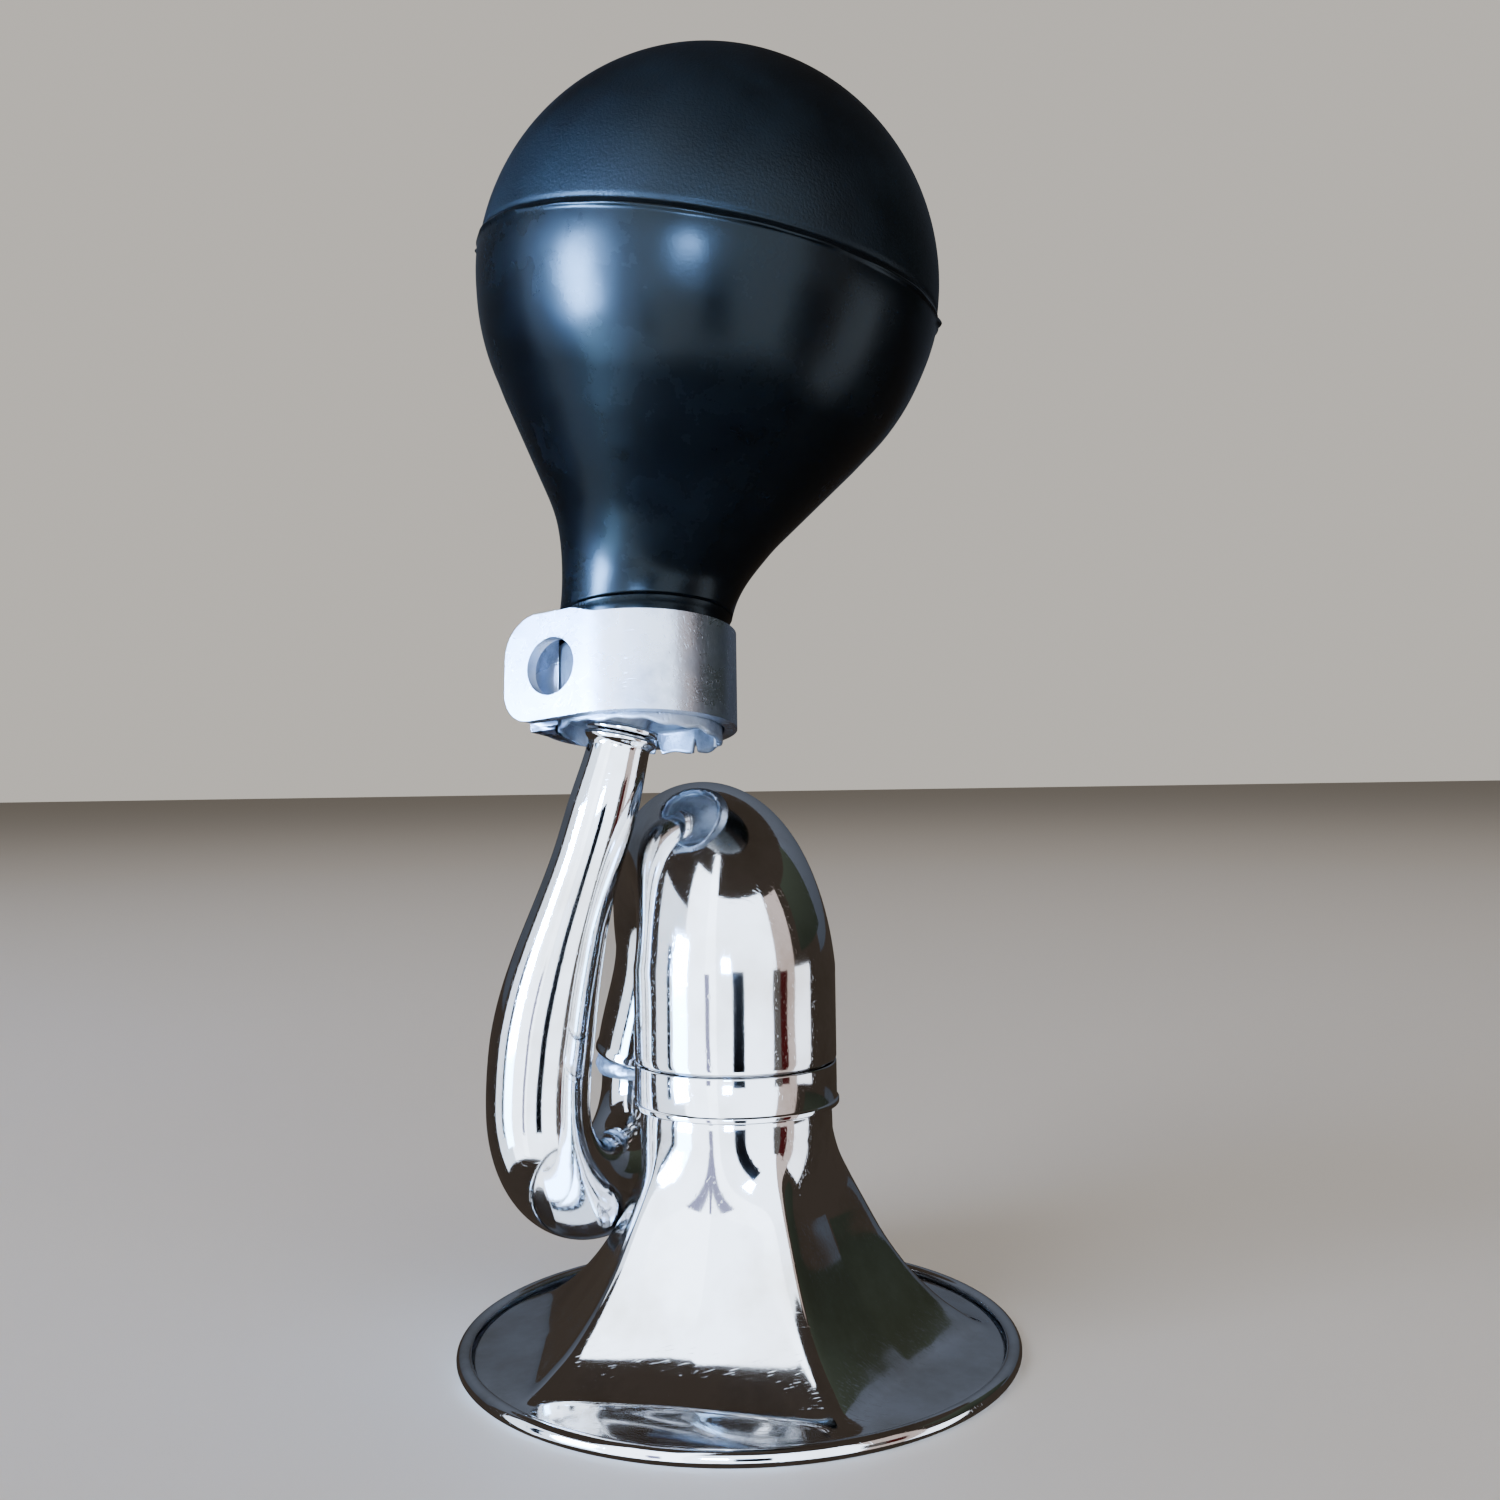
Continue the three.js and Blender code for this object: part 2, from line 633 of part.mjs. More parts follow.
/** The ear's side view, rounded at its tip, as a cutter outline in [along, height]. */
function earProfile() {
  const top = STRAP_HEIGHT + EAR_RISE;
  const back = -2 * EAR_LENGTH;
  const profile = new THREE.Shape();
  profile.moveTo(back, 0);
  profile.lineTo(EAR_LENGTH - EAR_LOWER_CORNER, 0);
  const [low, high] = [EAR_LOWER_CORNER, EAR_UPPER_CORNER];
  profile.absarc(EAR_LENGTH - low, low, low, -Math.PI / 2, 0, false);
  profile.absarc(EAR_LENGTH - high, top - high, high, 0, Math.PI / 2, false);
  const down = EAR_RISE_REACH;
  profile.bezierCurveTo(down + EAR_RISE_RUN, top, down + EAR_RISE_RUN / 2, STRAP_HEIGHT, down, STRAP_HEIGHT);
  profile.lineTo(back, STRAP_HEIGHT);
  profile.closePath();
  return profile;
}

/** Stands an outline drawn in [along the ear, height] up in the ear's plane, and gives it depth. */
function acrossEar(outline, near, far) {
  const geometry = new THREE.ExtrudeGeometry(outline, {
    depth: far - near,
    bevelEnabled: false,
    curveSegments: 14,
  });
  const along = new THREE.Vector3(-Math.cos(EAR_TURN), Math.sin(EAR_TURN), 0);
  const away = new THREE.Vector3(-Math.sin(EAR_TURN), -Math.cos(EAR_TURN), 0);
  geometry.applyMatrix4(new THREE.Matrix4().makeBasis(along, UP.clone(), along.clone().cross(UP)));
  const sense = along.clone().cross(UP).dot(away);
  geometry.translate(...away.clone().multiplyScalar(sense > 0 ? near : far).toArray());
  return geometry;
}

/** The strap clamp: a bent strip with rounded ears and a bolt hole in the front one. */
function clampGeometry() {
  const strip = toSolid(prism(strapOutline(), 0, STRAP_HEIGHT + EAR_RISE));
  const reach = 3 * STRAP_INNER_RADIUS;
  const earsFrom = STRAP_INNER_RADIUS - EAR_GAP - STRAP_THICKNESS;
  const ears = toSolid(acrossEar(earProfile(), earsFrom - STRAP_THICKNESS, reach));
  const slab = new THREE.BoxGeometry(2 * reach, 2 * reach, STRAP_HEIGHT);
  slab.translate(0, reach - earsFrom + STRAP_THICKNESS / 2, STRAP_HEIGHT / 2);
  slab.rotateZ(-EAR_TURN);
  const trimmed = strip.intersect(ears.add(toSolid(slab)));
  const hole = new THREE.Shape();
  hole.absarc(EAR_HOLE_REACH, EAR_HOLE_HEIGHT, EAR_HOLE_RADIUS, 0, 2 * Math.PI, false);
  const near = STRAP_INNER_RADIUS - EAR_GAP / 2;
  const drill = toSolid(acrossEar(hole, near, STRAP_INNER_RADIUS + 2 * STRAP_THICKNESS));
  return toGeometry(trimmed.subtract(drill));
}

/** The cup: a thin can under the neck, with a hole for the reed socket and a ragged skirt. */
function cupGeometry() {
  const inner = CUP_RADIUS - CUP_WALL;
  const can = toSolid(
    revolve(
      [
        [0, CUP_FLOOR],
        [inner, CUP_FLOOR],
        [inner, -CUP_SKIRT],
        [CUP_RADIUS, -CUP_SKIRT],
        [CUP_RADIUS, CUP_TOP],
        [inner, CUP_TOP],
        [inner, CUP_FLOOR + CUP_FLOOR_WALL],
        [0, CUP_FLOOR + CUP_FLOOR_WALL],
      ],
      ROUND_BELL,
    ),
  );
  const trim = new THREE.BoxGeometry(6 * CUP_RADIUS, 6 * CUP_RADIUS, 4 * CUP_SKIRT);
  trim.translate(0, 0, -3 * CUP_SKIRT);
  trim.rotateY(SKIRT_DIP);
  trim.translate(0, 0, SKIRT_DIP * CUP_RADIUS);
  const socketHole = closedRod(SOCKET_RADIUS + 2 * SEAT_GAP, -CUP_TOP, 2 * CUP_TOP);
  socketHole.applyMatrix4(pipeFrame.matrixWorld.clone());
  socketHole.applyMatrix4(clampFrame.matrixWorld.clone().invert());
  let cup = can.subtract(toSolid(socketHole)).subtract(toSolid(trim));
  for (const turn of SKIRT_SLIT_TURNS) {
    const slit = new THREE.BoxGeometry(8 * CUP_WALL, SKIRT_SLIT, CUP_SKIRT);
    slit.translate(CUP_RADIUS, 0, SKIRT_SLIT_TOP - CUP_SKIRT / 2);
    slit.rotateZ(turn);
    cup = cup.subtract(toSolid(slit));
  }
  return toGeometry(cup);
}

// ---------------------------------------------------------------- rubber bulb

/** The ball's centre and axis in the clamp's frame, and the distance along the bulb's axis to it. */
const ball = (() => {
  const toClamp = clampFrame.matrixWorld.clone().invert();
  const centre = BULB_CENTRE.clone().applyMatrix4(toClamp);
  const base = new THREE.Vector3(0, 0, CUP_TOP + SEAT_GAP);
  const axis = centre.clone().sub(base);
  const reach = base.z + axis.length();
  const seamAxis = leaning(SEAM_LEAN_RIGHT, 0).transformDirection(toClamp);
  return { centre, base, axis: axis.normalize(), reach, seamAxis };
})();
const ballJoin = ball.reach - BULB_RADIUS * Math.sin(BULB_CONE);
const neckTop = STRAP_HEIGHT + EAR_RISE + SEAT_GAP;

/** The outside of the straightened bulb: [radius, distance along its axis] from the neck up. */
function bulbOutside() {
  const joinRadius = BULB_RADIUS * Math.cos(BULB_CONE);
  const coneFoot = ballJoin - (joinRadius - BULB_NECK_RADIUS) / Math.tan(BULB_CONE);
  const room = (coneFoot - neckTop - NECK_STEP) / Math.tan(BULB_CONE / 2);
  const fillet = Math.min(NECK_FILLET, room);
  const filletCentre = [BULB_NECK_RADIUS + fillet, coneFoot - fillet * Math.tan(BULB_CONE / 2)];
  const inCup = CUP_RADIUS - CUP_WALL - SEAT_GAP;
  const centre = [0, ball.reach];
  const line = [
    [inCup, CUP_FLOOR + CUP_FLOOR_WALL + SEAT_GAP],
    [inCup, ball.base.z],
    [inCup, neckTop],
    [BULB_NECK_RADIUS, neckTop + NECK_STEP],
    ...arcPoints(filletCentre, fillet, Math.PI, Math.PI - BULB_CONE, 5),
    ...arcPoints(centre, BULB_RADIUS, -BULB_CONE, -SEAM_SPREAD, 5),
    [BULB_RADIUS + SEAM_PROUD, ball.reach - SEAM_HEIGHT / 4],
    [BULB_RADIUS + SEAM_PROUD, ball.reach + SEAM_HEIGHT / 4],
    ...arcPoints(centre, BULB_RADIUS, SEAM_SPREAD, Math.PI / 2, 11),
  ];
  line[line.length - 1][0] = 0;
  return line;
}

/** The inside of the straightened bulb, from the neck's mouth up to the crown. */
function bulbInside() {
  const line = [
    [BULB_NECK_BORE, CUP_FLOOR + CUP_FLOOR_WALL + SEAT_GAP],
    [BULB_NECK_BORE, ball.base.z],
    [BULB_NECK_BORE, neckTop],
    [BULB_NECK_RADIUS - BULB_NECK_WALL, neckTop + NECK_THICK_RUN],
    ...arcPoints([0, ball.reach], BULB_RADIUS - BULB_WALL, -BULB_CONE, Math.PI / 2, 10),
  ];
  line[line.length - 1][0] = 0;
  return line;
}

/** Where the bulb's axis is at a height, and which way its cross-sections face there. */
function bulbStation(height) {
  if (height <= ball.base.z) {
    return { point: new THREE.Vector3(0, 0, height), tangent: UP.clone() };
  }
  if (height < ballJoin) {
    const turn = ease(height, neckTop + NECK_STEP, neckTop + NECK_STEP + BULB_NECK_RADIUS);
    return {
      point: ball.base.clone().addScaledVector(ball.axis, height - ball.base.z),
      tangent: UP.clone().lerp(ball.axis, turn).normalize(),
    };
  }
  const tangent = ball.axis.clone().lerp(ball.seamAxis, ease(height, ballJoin, ball.reach)).normalize();
  return { point: ball.centre.clone().addScaledVector(tangent, height - ball.reach), tangent };
}

/** The hollow rubber bulb, its neck upright in the clamp and its ball leaning off it. */
function bulbGeometry() {
  const profile = [...bulbInside().reverse(), ...bulbOutside()];
  const geometry = revolve(profile, ROUND_BULB);
  const stations = profile.map(([, height]) => ({ height, ...bulbStation(height) }));
  stations.sort((a, b) => a.height - b.height);
  const frames = carryFrames(stations);
  const position = geometry.attributes.position;
  for (let i = 0; i < position.count; i += 1) {
    const height = position.getZ(i);
    const index = stations.findIndex((station) => Math.abs(station.height - height) < HEIGHT_MATCH);
    const { side, other } = frames[index];
    const place = stations[index].point
      .clone()
      .addScaledVector(side, position.getX(i))
      .addScaledVector(other, position.getY(i));
    position.setXYZ(i, place.x, place.y, place.z);
  }
  geometry.computeVertexNormals();
  return geometry;
}

// ---------------------------------------------------------------- assembly

pipeFrame.updateMatrixWorld(true);

addPiece(horn, 'bell', bellGeometry(), CHROME);
addPiece(horn, 'rim_wire', rimWireGeometry(), DULL);
addPiece(horn, 'bell_collar', collarGeometry(), CHROME);
addPiece(horn, 'upper_bend', upperBendGeometry(), CHROME);
addPiece(horn, 'lead_tube', leadTubeGeometry(), CHROME);
addPiece(horn, 'joint_solder', jointSolderGeometry(), SOLDER);
addPiece(pipeFrame, 'reed_socket', reedSocketGeometry(), CHROME);
addPiece(pipeFrame, 'reed_shallot', shallotGeometry(), BRASS);
addPiece(pipeFrame, 'reed_tongue', tongueGeometry(), BRASS);
addPiece(pipeFrame, 'reed_clip', reedClipGeometry(), BRASS);
addPiece(clampFrame, 'neck_cup', cupGeometry(), DULL);
addPiece(clampFrame, 'neck_clamp', clampGeometry(), SATIN);
addPiece(clampFrame, 'rubber_bulb', bulbGeometry(), RUBBER);

export default horn;
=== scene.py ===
"""Looks of a squeeze bulb horn that stands on the rim of its bell.

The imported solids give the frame: metres, +Z up, -Y the front, the origin at the centre of the bell's
rim on the surface it stands on. The pieces are drawn in millimetres and brought to metres when they
are finished.
"""

import logging
import math
from dataclasses import dataclass
from enum import Enum
from typing import Callable, Sequence

import bmesh
import bpy
from mathutils import Matrix, Vector


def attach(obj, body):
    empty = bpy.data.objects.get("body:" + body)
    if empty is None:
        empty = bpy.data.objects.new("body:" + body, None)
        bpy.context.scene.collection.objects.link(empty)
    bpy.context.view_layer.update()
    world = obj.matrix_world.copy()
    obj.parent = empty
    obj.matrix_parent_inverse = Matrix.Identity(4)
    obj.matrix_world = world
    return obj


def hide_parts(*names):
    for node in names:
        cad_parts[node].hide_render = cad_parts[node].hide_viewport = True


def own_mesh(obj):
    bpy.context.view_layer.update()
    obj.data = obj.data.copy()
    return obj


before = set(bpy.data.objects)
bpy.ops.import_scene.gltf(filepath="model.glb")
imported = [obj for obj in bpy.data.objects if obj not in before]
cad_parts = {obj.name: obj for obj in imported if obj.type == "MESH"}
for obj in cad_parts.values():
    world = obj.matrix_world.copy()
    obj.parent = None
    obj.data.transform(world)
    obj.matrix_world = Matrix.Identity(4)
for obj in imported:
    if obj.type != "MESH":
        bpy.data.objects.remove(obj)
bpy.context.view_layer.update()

LOG = logging.getLogger("bulb_horn")
MM = 0.001
Profile = list[tuple[float, float]]


class Body(Enum):
    """The moving bodies that pieces ride on."""

    HORN = "horn"
    BULB = "bulb"
    CLAMP = "clamp"
    TONGUE = "tongue"


class Slot(Enum):
    """The record's material slots."""

    CHROME = "chrome"
    RIM_WIRE = "rim_wire"
    SOLDER = "solder"
    REED_BRASS = "reed_brass"
    DULL_PLATE = "dull_plate"
    SATIN_PLATE = "satin_plate"
    RUBBER = "rubber"


# ---------------------------------------------------------------- small helpers


def linear(colour: str) -> tuple[float, float, float, float]:
    """Turns an sRGB hex colour to a linear one.

    Args:
        colour: six hex digits, with a leading #.

    Returns:
        Red, green, blue and an alpha of 1.
    """
    parts = [int(colour[i : i + 2], 16) / 255 for i in (1, 3, 5)]
    red, green, blue = (c / 12.92 if c <= 0.04045 else ((c + 0.055) / 1.055) ** 2.4 for c in parts)
    return red, green, blue, 1.0


def ease(value: float, start: float, end: float) -> float:
    """Smooth step.

    Args:
        value: where to look.
        start: where the step is 0.
        end: where the step is 1.

    Returns:
        A share from 0 to 1.
    """
    share = min(max((value - start) / (end - start), 0.0), 1.0)
    return share * share * (3 - 2 * share)


def arc(centre: tuple[float, float], radius: float, start: float, end: float, steps: int) -> Profile:
    """Points of an arc.

    Args:
        centre: the arc's centre.
        radius: its radius.
        start: the first point's angle, in degrees.
        end: the last point's angle, in degrees.
        steps: how many chords.

    Returns:
        The points, first and last included.
    """
    angles = [math.radians(start + (end - start) * i / steps) for i in range(steps + 1)]
    return [(centre[0] + radius * math.cos(a), centre[1] + radius * math.sin(a)) for a in angles]


def through(points: Profile, steps: int) -> Profile:
    """A smooth line through points, as a Catmull-Rom spline.

    Args:
        points: the points to pass.
        steps: chords between two of them.

    Returns:
        The line's points.
    """
    line: Profile = []
    last = len(points) - 1
    for i in range(last):
        before, here, there, after = (
            Vector(points[max(i - 1, 0)]),
            Vector(points[i]),
            Vector(points[i + 1]),
            Vector(points[min(i + 2, last)]),
        )
        for k in range(steps):
            t = k / steps
            place = 0.5 * (
                2 * here
                + (there - before) * t
                + (2 * before - 5 * here + 4 * there - after) * t**2
                + (3 * here - before - 3 * there + after) * t**3
            )
            line.append((place.x, place.y))
    line.append(points[last])
    return line


def spun(profile: Sequence[tuple[float, float]], steps: int, closed: bool = True) -> bmesh.types.BMesh:
    """Spins a profile once round Z.

    Args:
        profile: (radius, height) pairs.
        steps: how many steps the turn takes.
        closed: whether the profile's last point joins its first.

    Returns:
        The surface, with its faces out and its poles closed.
    """
    mesh = bmesh.new()
    verts = [mesh.verts.new((radius, 0, height)) for radius, height in profile]
    edges = [mesh.edges.new(pair) for pair in zip(verts, verts[1:])]
    if closed:
        edges.append(mesh.edges.new((verts[-1], verts[0])))
    bmesh.ops.spin(
        mesh,
        geom=verts + edges,
        cent=(0, 0, 0),
        axis=(0, 0, 1),
        dvec=(0, 0, 0),
        angle=math.tau,
        steps=steps,
        use_merge=True,
    )
    bmesh.ops.remove_doubles(mesh, verts=mesh.verts, dist=1e-5)
    bmesh.ops.dissolve_degenerate(mesh, edges=mesh.edges, dist=1e-6)
    bmesh.ops.recalc_face_normals(mesh, faces=mesh.faces)
    return mesh


def as_object(mesh: bmesh.types.BMesh, name: str) -> bpy.types.Object:
    """Puts a mesh drawn in millimetres into the scene as a smooth object in metres.

    Args:
        mesh: the mesh, freed here.
        name: the object's name.

    Returns:
        The object, at the origin.
    """
    bmesh.ops.scale(mesh, vec=(MM, MM, MM), verts=mesh.verts)
    for face in mesh.faces:
        face.smooth = True
    data = bpy.data.meshes.new(name)
    mesh.to_mesh(data)
    mesh.free()
    obj = bpy.data.objects.new(name, data)
    bpy.context.scene.collection.objects.link(obj)
    return obj


def place_piece(
    obj: bpy.types.Object,
    body: Body,
    slot: Slot,
    material: bpy.types.Material,
    *nodes: str,
) -> bpy.types.Object:
    """Dresses a piece, lets it ride on its body and stand for its solids.

    Args:
        obj: the piece.
        body: what it moves with.
        slot: the record's slot for its finish; not used.
        material: its material.
        *nodes: the solids it stands for.

    Returns:
        The piece.
    """
    obj.data.materials.clear()
    obj.data.materials.append(material)
    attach(obj, body.value)
    if nodes:
        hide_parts(*nodes)
    LOG.info("%s rides on %s, %d faces", obj.name, body.value, len(obj.data.polygons))
    return obj


def add_node(
    material: bpy.types.Material,
    kind: str,
    inputs: dict[str | int, object] | None = None,
    **settings: object,
) -> bpy.types.Node:
    """Adds a shader node.

    Args:
        material: the material, or the world, whose tree it joins.
        kind: the node's type.
        inputs: a value or an output socket for each input.
        **settings: the node's own settings.

    Returns:
        The node.
    """
    tree = material.node_tree
    made = tree.nodes.new(kind)
    for key, value in settings.items():
        setattr(made, key, value)
    for key, value in (inputs or {}).items():
        socket = made.inputs[key]
        if isinstance(value, bpy.types.NodeSocket):
            tree.links.new(value, socket)
        else:
            socket.default_value = value
    return made


def ramp(
    material: bpy.types.Material, factor: bpy.types.NodeSocket, low: float, high: float, start: float, end: float
) -> bpy.types.NodeSocket:
    """Maps a factor from one range to another, clamped.

    Args:
        material: the material it joins.
        factor: the socket to map.
        low: the factor's low end.
        high: the factor's high end.
        start: what the low end becomes.
        end: what the high end becomes.

    Returns:
        The mapped socket.
    """
    inputs = {"Value": factor, "From Min": low, "From Max": high, "To Min": start, "To Max": end}
    return add_node(material, "ShaderNodeMapRange", inputs).outputs["Result"]


# ---------------------------------------------------------------- finishes


@dataclass(frozen=True)
class MetalFinish:
    """A bare or plated metal with haze, fine scratches and a little waviness.

    The scales are cells to the metre, because patterns lie on Object coordinates in metres.
    """

    name: str
    colour: str
    stain: str
    roughness: float
    haze: float  # how much rougher the cloudy patches are
    cloud_scale: float  # patches of haze
    wave_scale: float  # waviness left by forming
    wave_height: float  # in metres
    grain_scale: float  # pits or grain
    grain_height: float  # in metres
    scratch_height: float  # in metres
    scratch_scale: float = 260.0

    def build(self) -> bpy.types.Material:
        """Builds the material from its nodes."""
        material = bpy.data.materials.new(self.name)
        material.use_nodes = True
        shader = material.node_tree.nodes["Principled BSDF"]
        shader.inputs["Metallic"].default_value = 1.0
        place = add_node(material, "ShaderNodeTexCoord").outputs["Object"]
        cloud = add_node(
            material,
            "ShaderNodeTexNoise",
            {"Vector": place, "Scale": self.cloud_scale, "Detail": 5.0, "Roughness": 0.6},
        ).outputs["Fac"]
        stains = ramp(material, cloud, 0.45, 0.75, 0.0, 1.0)
        tint = add_node(
            material,
            "ShaderNodeMix",
            {0: stains, 6: linear(self.colour), 7: linear(self.stain)},
            data_type="RGBA",
        )
        material.node_tree.links.new(tint.outputs[2], shader.inputs["Base Color"])
        rough = ramp(material, cloud, 0.35, 0.8, self.roughness, self.roughness + self.haze)
        material.node_tree.links.new(rough, shader.inputs["Roughness"])
        wave = add_node(
            material, "ShaderNodeTexNoise", {"Vector": place, "Scale": self.wave_scale, "Detail": 1.0}
        ).outputs["Fac"]
        grain = add_node(
            material, "ShaderNodeTexNoise", {"Vector": place, "Scale": self.grain_scale, "Detail": 3.0}
        ).outputs["Fac"]
        lines = add_node(
            material, "ShaderNodeMapping", {"Vector": place, "Rotation": (0.5, 0.3, 0.9), "Scale": (1.0, 22.0, 5.0)}
        ).outputs["Vector"]
        scratch = add_node(
            material, "ShaderNodeTexNoise", {"Vector": lines, "Scale": self.scratch_scale, "Detail": 2.0}
        ).outputs["Fac"]
        cuts = ramp(material, scratch, 0.62, 0.72, 0.0, 1.0)
        normal = None
        for height, depth in ((wave, self.wave_height), (grain, self.grain_height), (cuts, -self.scratch_height)):
            inputs: dict[str | int, object] = {"Height": height, "Distance": abs(depth), "Strength": 1.0}
            if normal is not None:
                inputs["Normal"] = normal
            normal = add_node(material, "ShaderNodeBump", inputs, invert=depth < 0).outputs["Normal"]
        material.node_tree.links.new(normal, shader.inputs["Normal"])
        return material


@dataclass(frozen=True)
class RubberFinish:
    """Black rubber moulded in two halves: a grained half over the seam and a smoother one below.

    The smooth half is semi-gloss and shows soft window glints; the grained one stays dark and matte.
    """

    name: str = "moulded_black_rubber"
    colour: str = "#070a0d"
    painted_sky_tint: str = "#0e151a"  # bluish tint for a painted reflection of the sky, laid on the base colour in random patches
    gloss: float = 0.25
    matte: float = 0.42
    grain_scale: float = 2600.0  # 0.4 mm grain
    attribute: str = "matte"

    def build(self) -> bpy.types.Material:
        """Builds the material from its nodes."""
        material = bpy.data.materials.new(self.name)
        material.use_nodes = True
        shader = material.node_tree.nodes["Principled BSDF"]
        shader.inputs["IOR"].default_value = 1.52
        shader.inputs["Specular IOR Level"].default_value = 0.12
        shader.inputs["Specular Tint"].default_value = linear("#dfeef2")
        place = add_node(material, "ShaderNodeTexCoord").outputs["Object"]
        matte = add_node(material, "ShaderNodeAttribute", attribute_name=self.attribute).outputs["Fac"]
        cloud = add_node(
            material, "ShaderNodeTexNoise", {"Vector": place, "Scale": 55.0, "Detail": 6.0, "Roughness": 0.65}
        ).outputs["Fac"]
        # random patches of painted bluish sky reflection in the base colour
        sky_tint_patches = ramp(material, cloud, 0.4, 0.75, 0.0, 0.7)
        tint = add_node(
            material,
            "ShaderNodeMix",
            {0: sky_tint_patches, 6: linear(self.colour), 7: linear(self.painted_sky_tint)},
            data_type="RGBA",
        )
        material.node_tree.links.new(tint.outputs[2], shader.inputs["Base Color"])
        base = ramp(material, matte, 0.0, 1.0, self.gloss, self.matte)
        patch = ramp(material, cloud, 0.3, 0.8, -0.04, 0.09)
        rough = add_node(material, "ShaderNodeMath", {0: base, 1: patch}, operation="ADD").outputs[0]
        material.node_tree.links.new(rough, shader.inputs["Roughness"])
        grain = add_node(
            material, "ShaderNodeTexNoise", {"Vector": place, "Scale": self.grain_scale, "Detail": 2.0}
        ).outputs["Fac"]
        strength = ramp(material, matte, 0.0, 1.0, 0.12, 0.7)
        fine = add_node(
            material, "ShaderNodeBump", {"Height": grain, "Distance": 0.00009, "Strength": strength}
        ).outputs["Normal"]
        lumps = add_node(
            material, "ShaderNodeTexNoise", {"Vector": place, "Scale": 70.0, "Detail": 2.0}
        ).outputs["Fac"]
        normal = add_node(
            material, "ShaderNodeBump", {"Height": lumps, "Distance": 0.00022, "Strength": 0.8, "Normal": fine}
        ).outputs["Normal"]
        material.node_tree.links.new(normal, shader.inputs["Normal"])
        return material


# Nickel and chromium plate on pressed brass: a near mirror, lightly hazed, with faint forming waves.
CHROME_PLATE = MetalFinish(
    "polished_chrome_plate", "#dfe0e3", "#b9b3aa", 0.045, 0.07, 60, 90, 0.00010, 2200, 0.000002, 0.000003
)
# Zinc plate left satin by tumbling: broad soft highlights with fine pits.
SATIN_ZINC = MetalFinish("satin_zinc_plate", "#b6bcc6", "#8f96a1", 0.24, 0.12, 170, 120, 0.00010, 1800, 0.000018, 0.000012)
# The thin can under the neck, tinned and rubbed dull.
DULL_TIN = MetalFinish("dull_tin_plate", "#9ba1aa", "#6d7076", 0.42, 0.2, 240, 200, 0.0002, 1500, 0.00006, 0.00003)
# Soft solder as it froze: grey, lumpy and uneven.
SOFT_SOLDER = MetalFinish("soft_solder", "#84868a", "#4c4a47", 0.4, 0.25, 500, 520, 0.0006, 1800, 0.0001, 0.0)
# Cold-rolled brass strip of the reed.
REED_BRASS = MetalFinish("rolled_brass", "#cba552", "#8f6a2f", 0.26, 0.14, 300, 200, 0.00004, 2400, 0.00001, 0.00002)
# Drawn steel wire inside the rolled rim.
DRAWN_WIRE = MetalFinish("drawn_steel_wire", "#8d9095", "#5f5a54", 0.35, 0.2, 300, 200, 0.00004, 2000, 0.00002, 0.00002)


# ---------------------------------------------------------------- the air way


@dataclass
class Station:
    """A cross-section of a bent piece."""

    point: Vector
    tangent: Vector
    radius: float = 0.0
    wall: float = 0.6


def lay_on(mesh: bmesh.types.BMesh, stations: Sequence[Station]) -> None:
    """Bends a straight piece onto stations, whose numbers its heights give.

    Args:
        mesh: the piece, moved in place.
        stations: the cross-sections it is laid on.
    """
    first = stations[0].tangent
    guide = Vector((0, 1, 0)) if abs(first.y) < 0.9 else Vector((1, 0, 0))
    side = guide.cross(first).normalized()
    before = first
    frames = []
    for station in stations:
        side = before.rotation_difference(station.tangent) @ side
        side = (side - station.tangent * side.dot(station.tangent)).normalized()
        before = station.tangent
        frames.append((side, station.tangent.cross(side)))
    for vert in mesh.verts:
        index = min(max(round(vert.co.z), 0), len(stations) - 1)
        across, other = frames[index]
        vert.co = stations[index].point + across * vert.co.x + other * vert.co.y


def shell(stations: Sequence[Station], segments: int) -> bmesh.types.BMesh:
    """A tube wall with an inside and an outside through stations.

    Args:
        stations: the cross-sections, each with its outside radius and wall.
        segments: facets round the tube.

    Returns:
        The bent wall, closed at both ends.
    """
    outer = [(station.radius, float(i)) for i, station in enumerate(stations)]
    inner = [(station.radius - station.wall, float(i)) for i, station in enumerate(stations)]
    mesh = spun([*outer, *reversed(inner)], segments)
    lay_on(mesh, stations)
    bmesh.ops.recalc_face_normals(mesh, faces=mesh.faces)
    return mesh


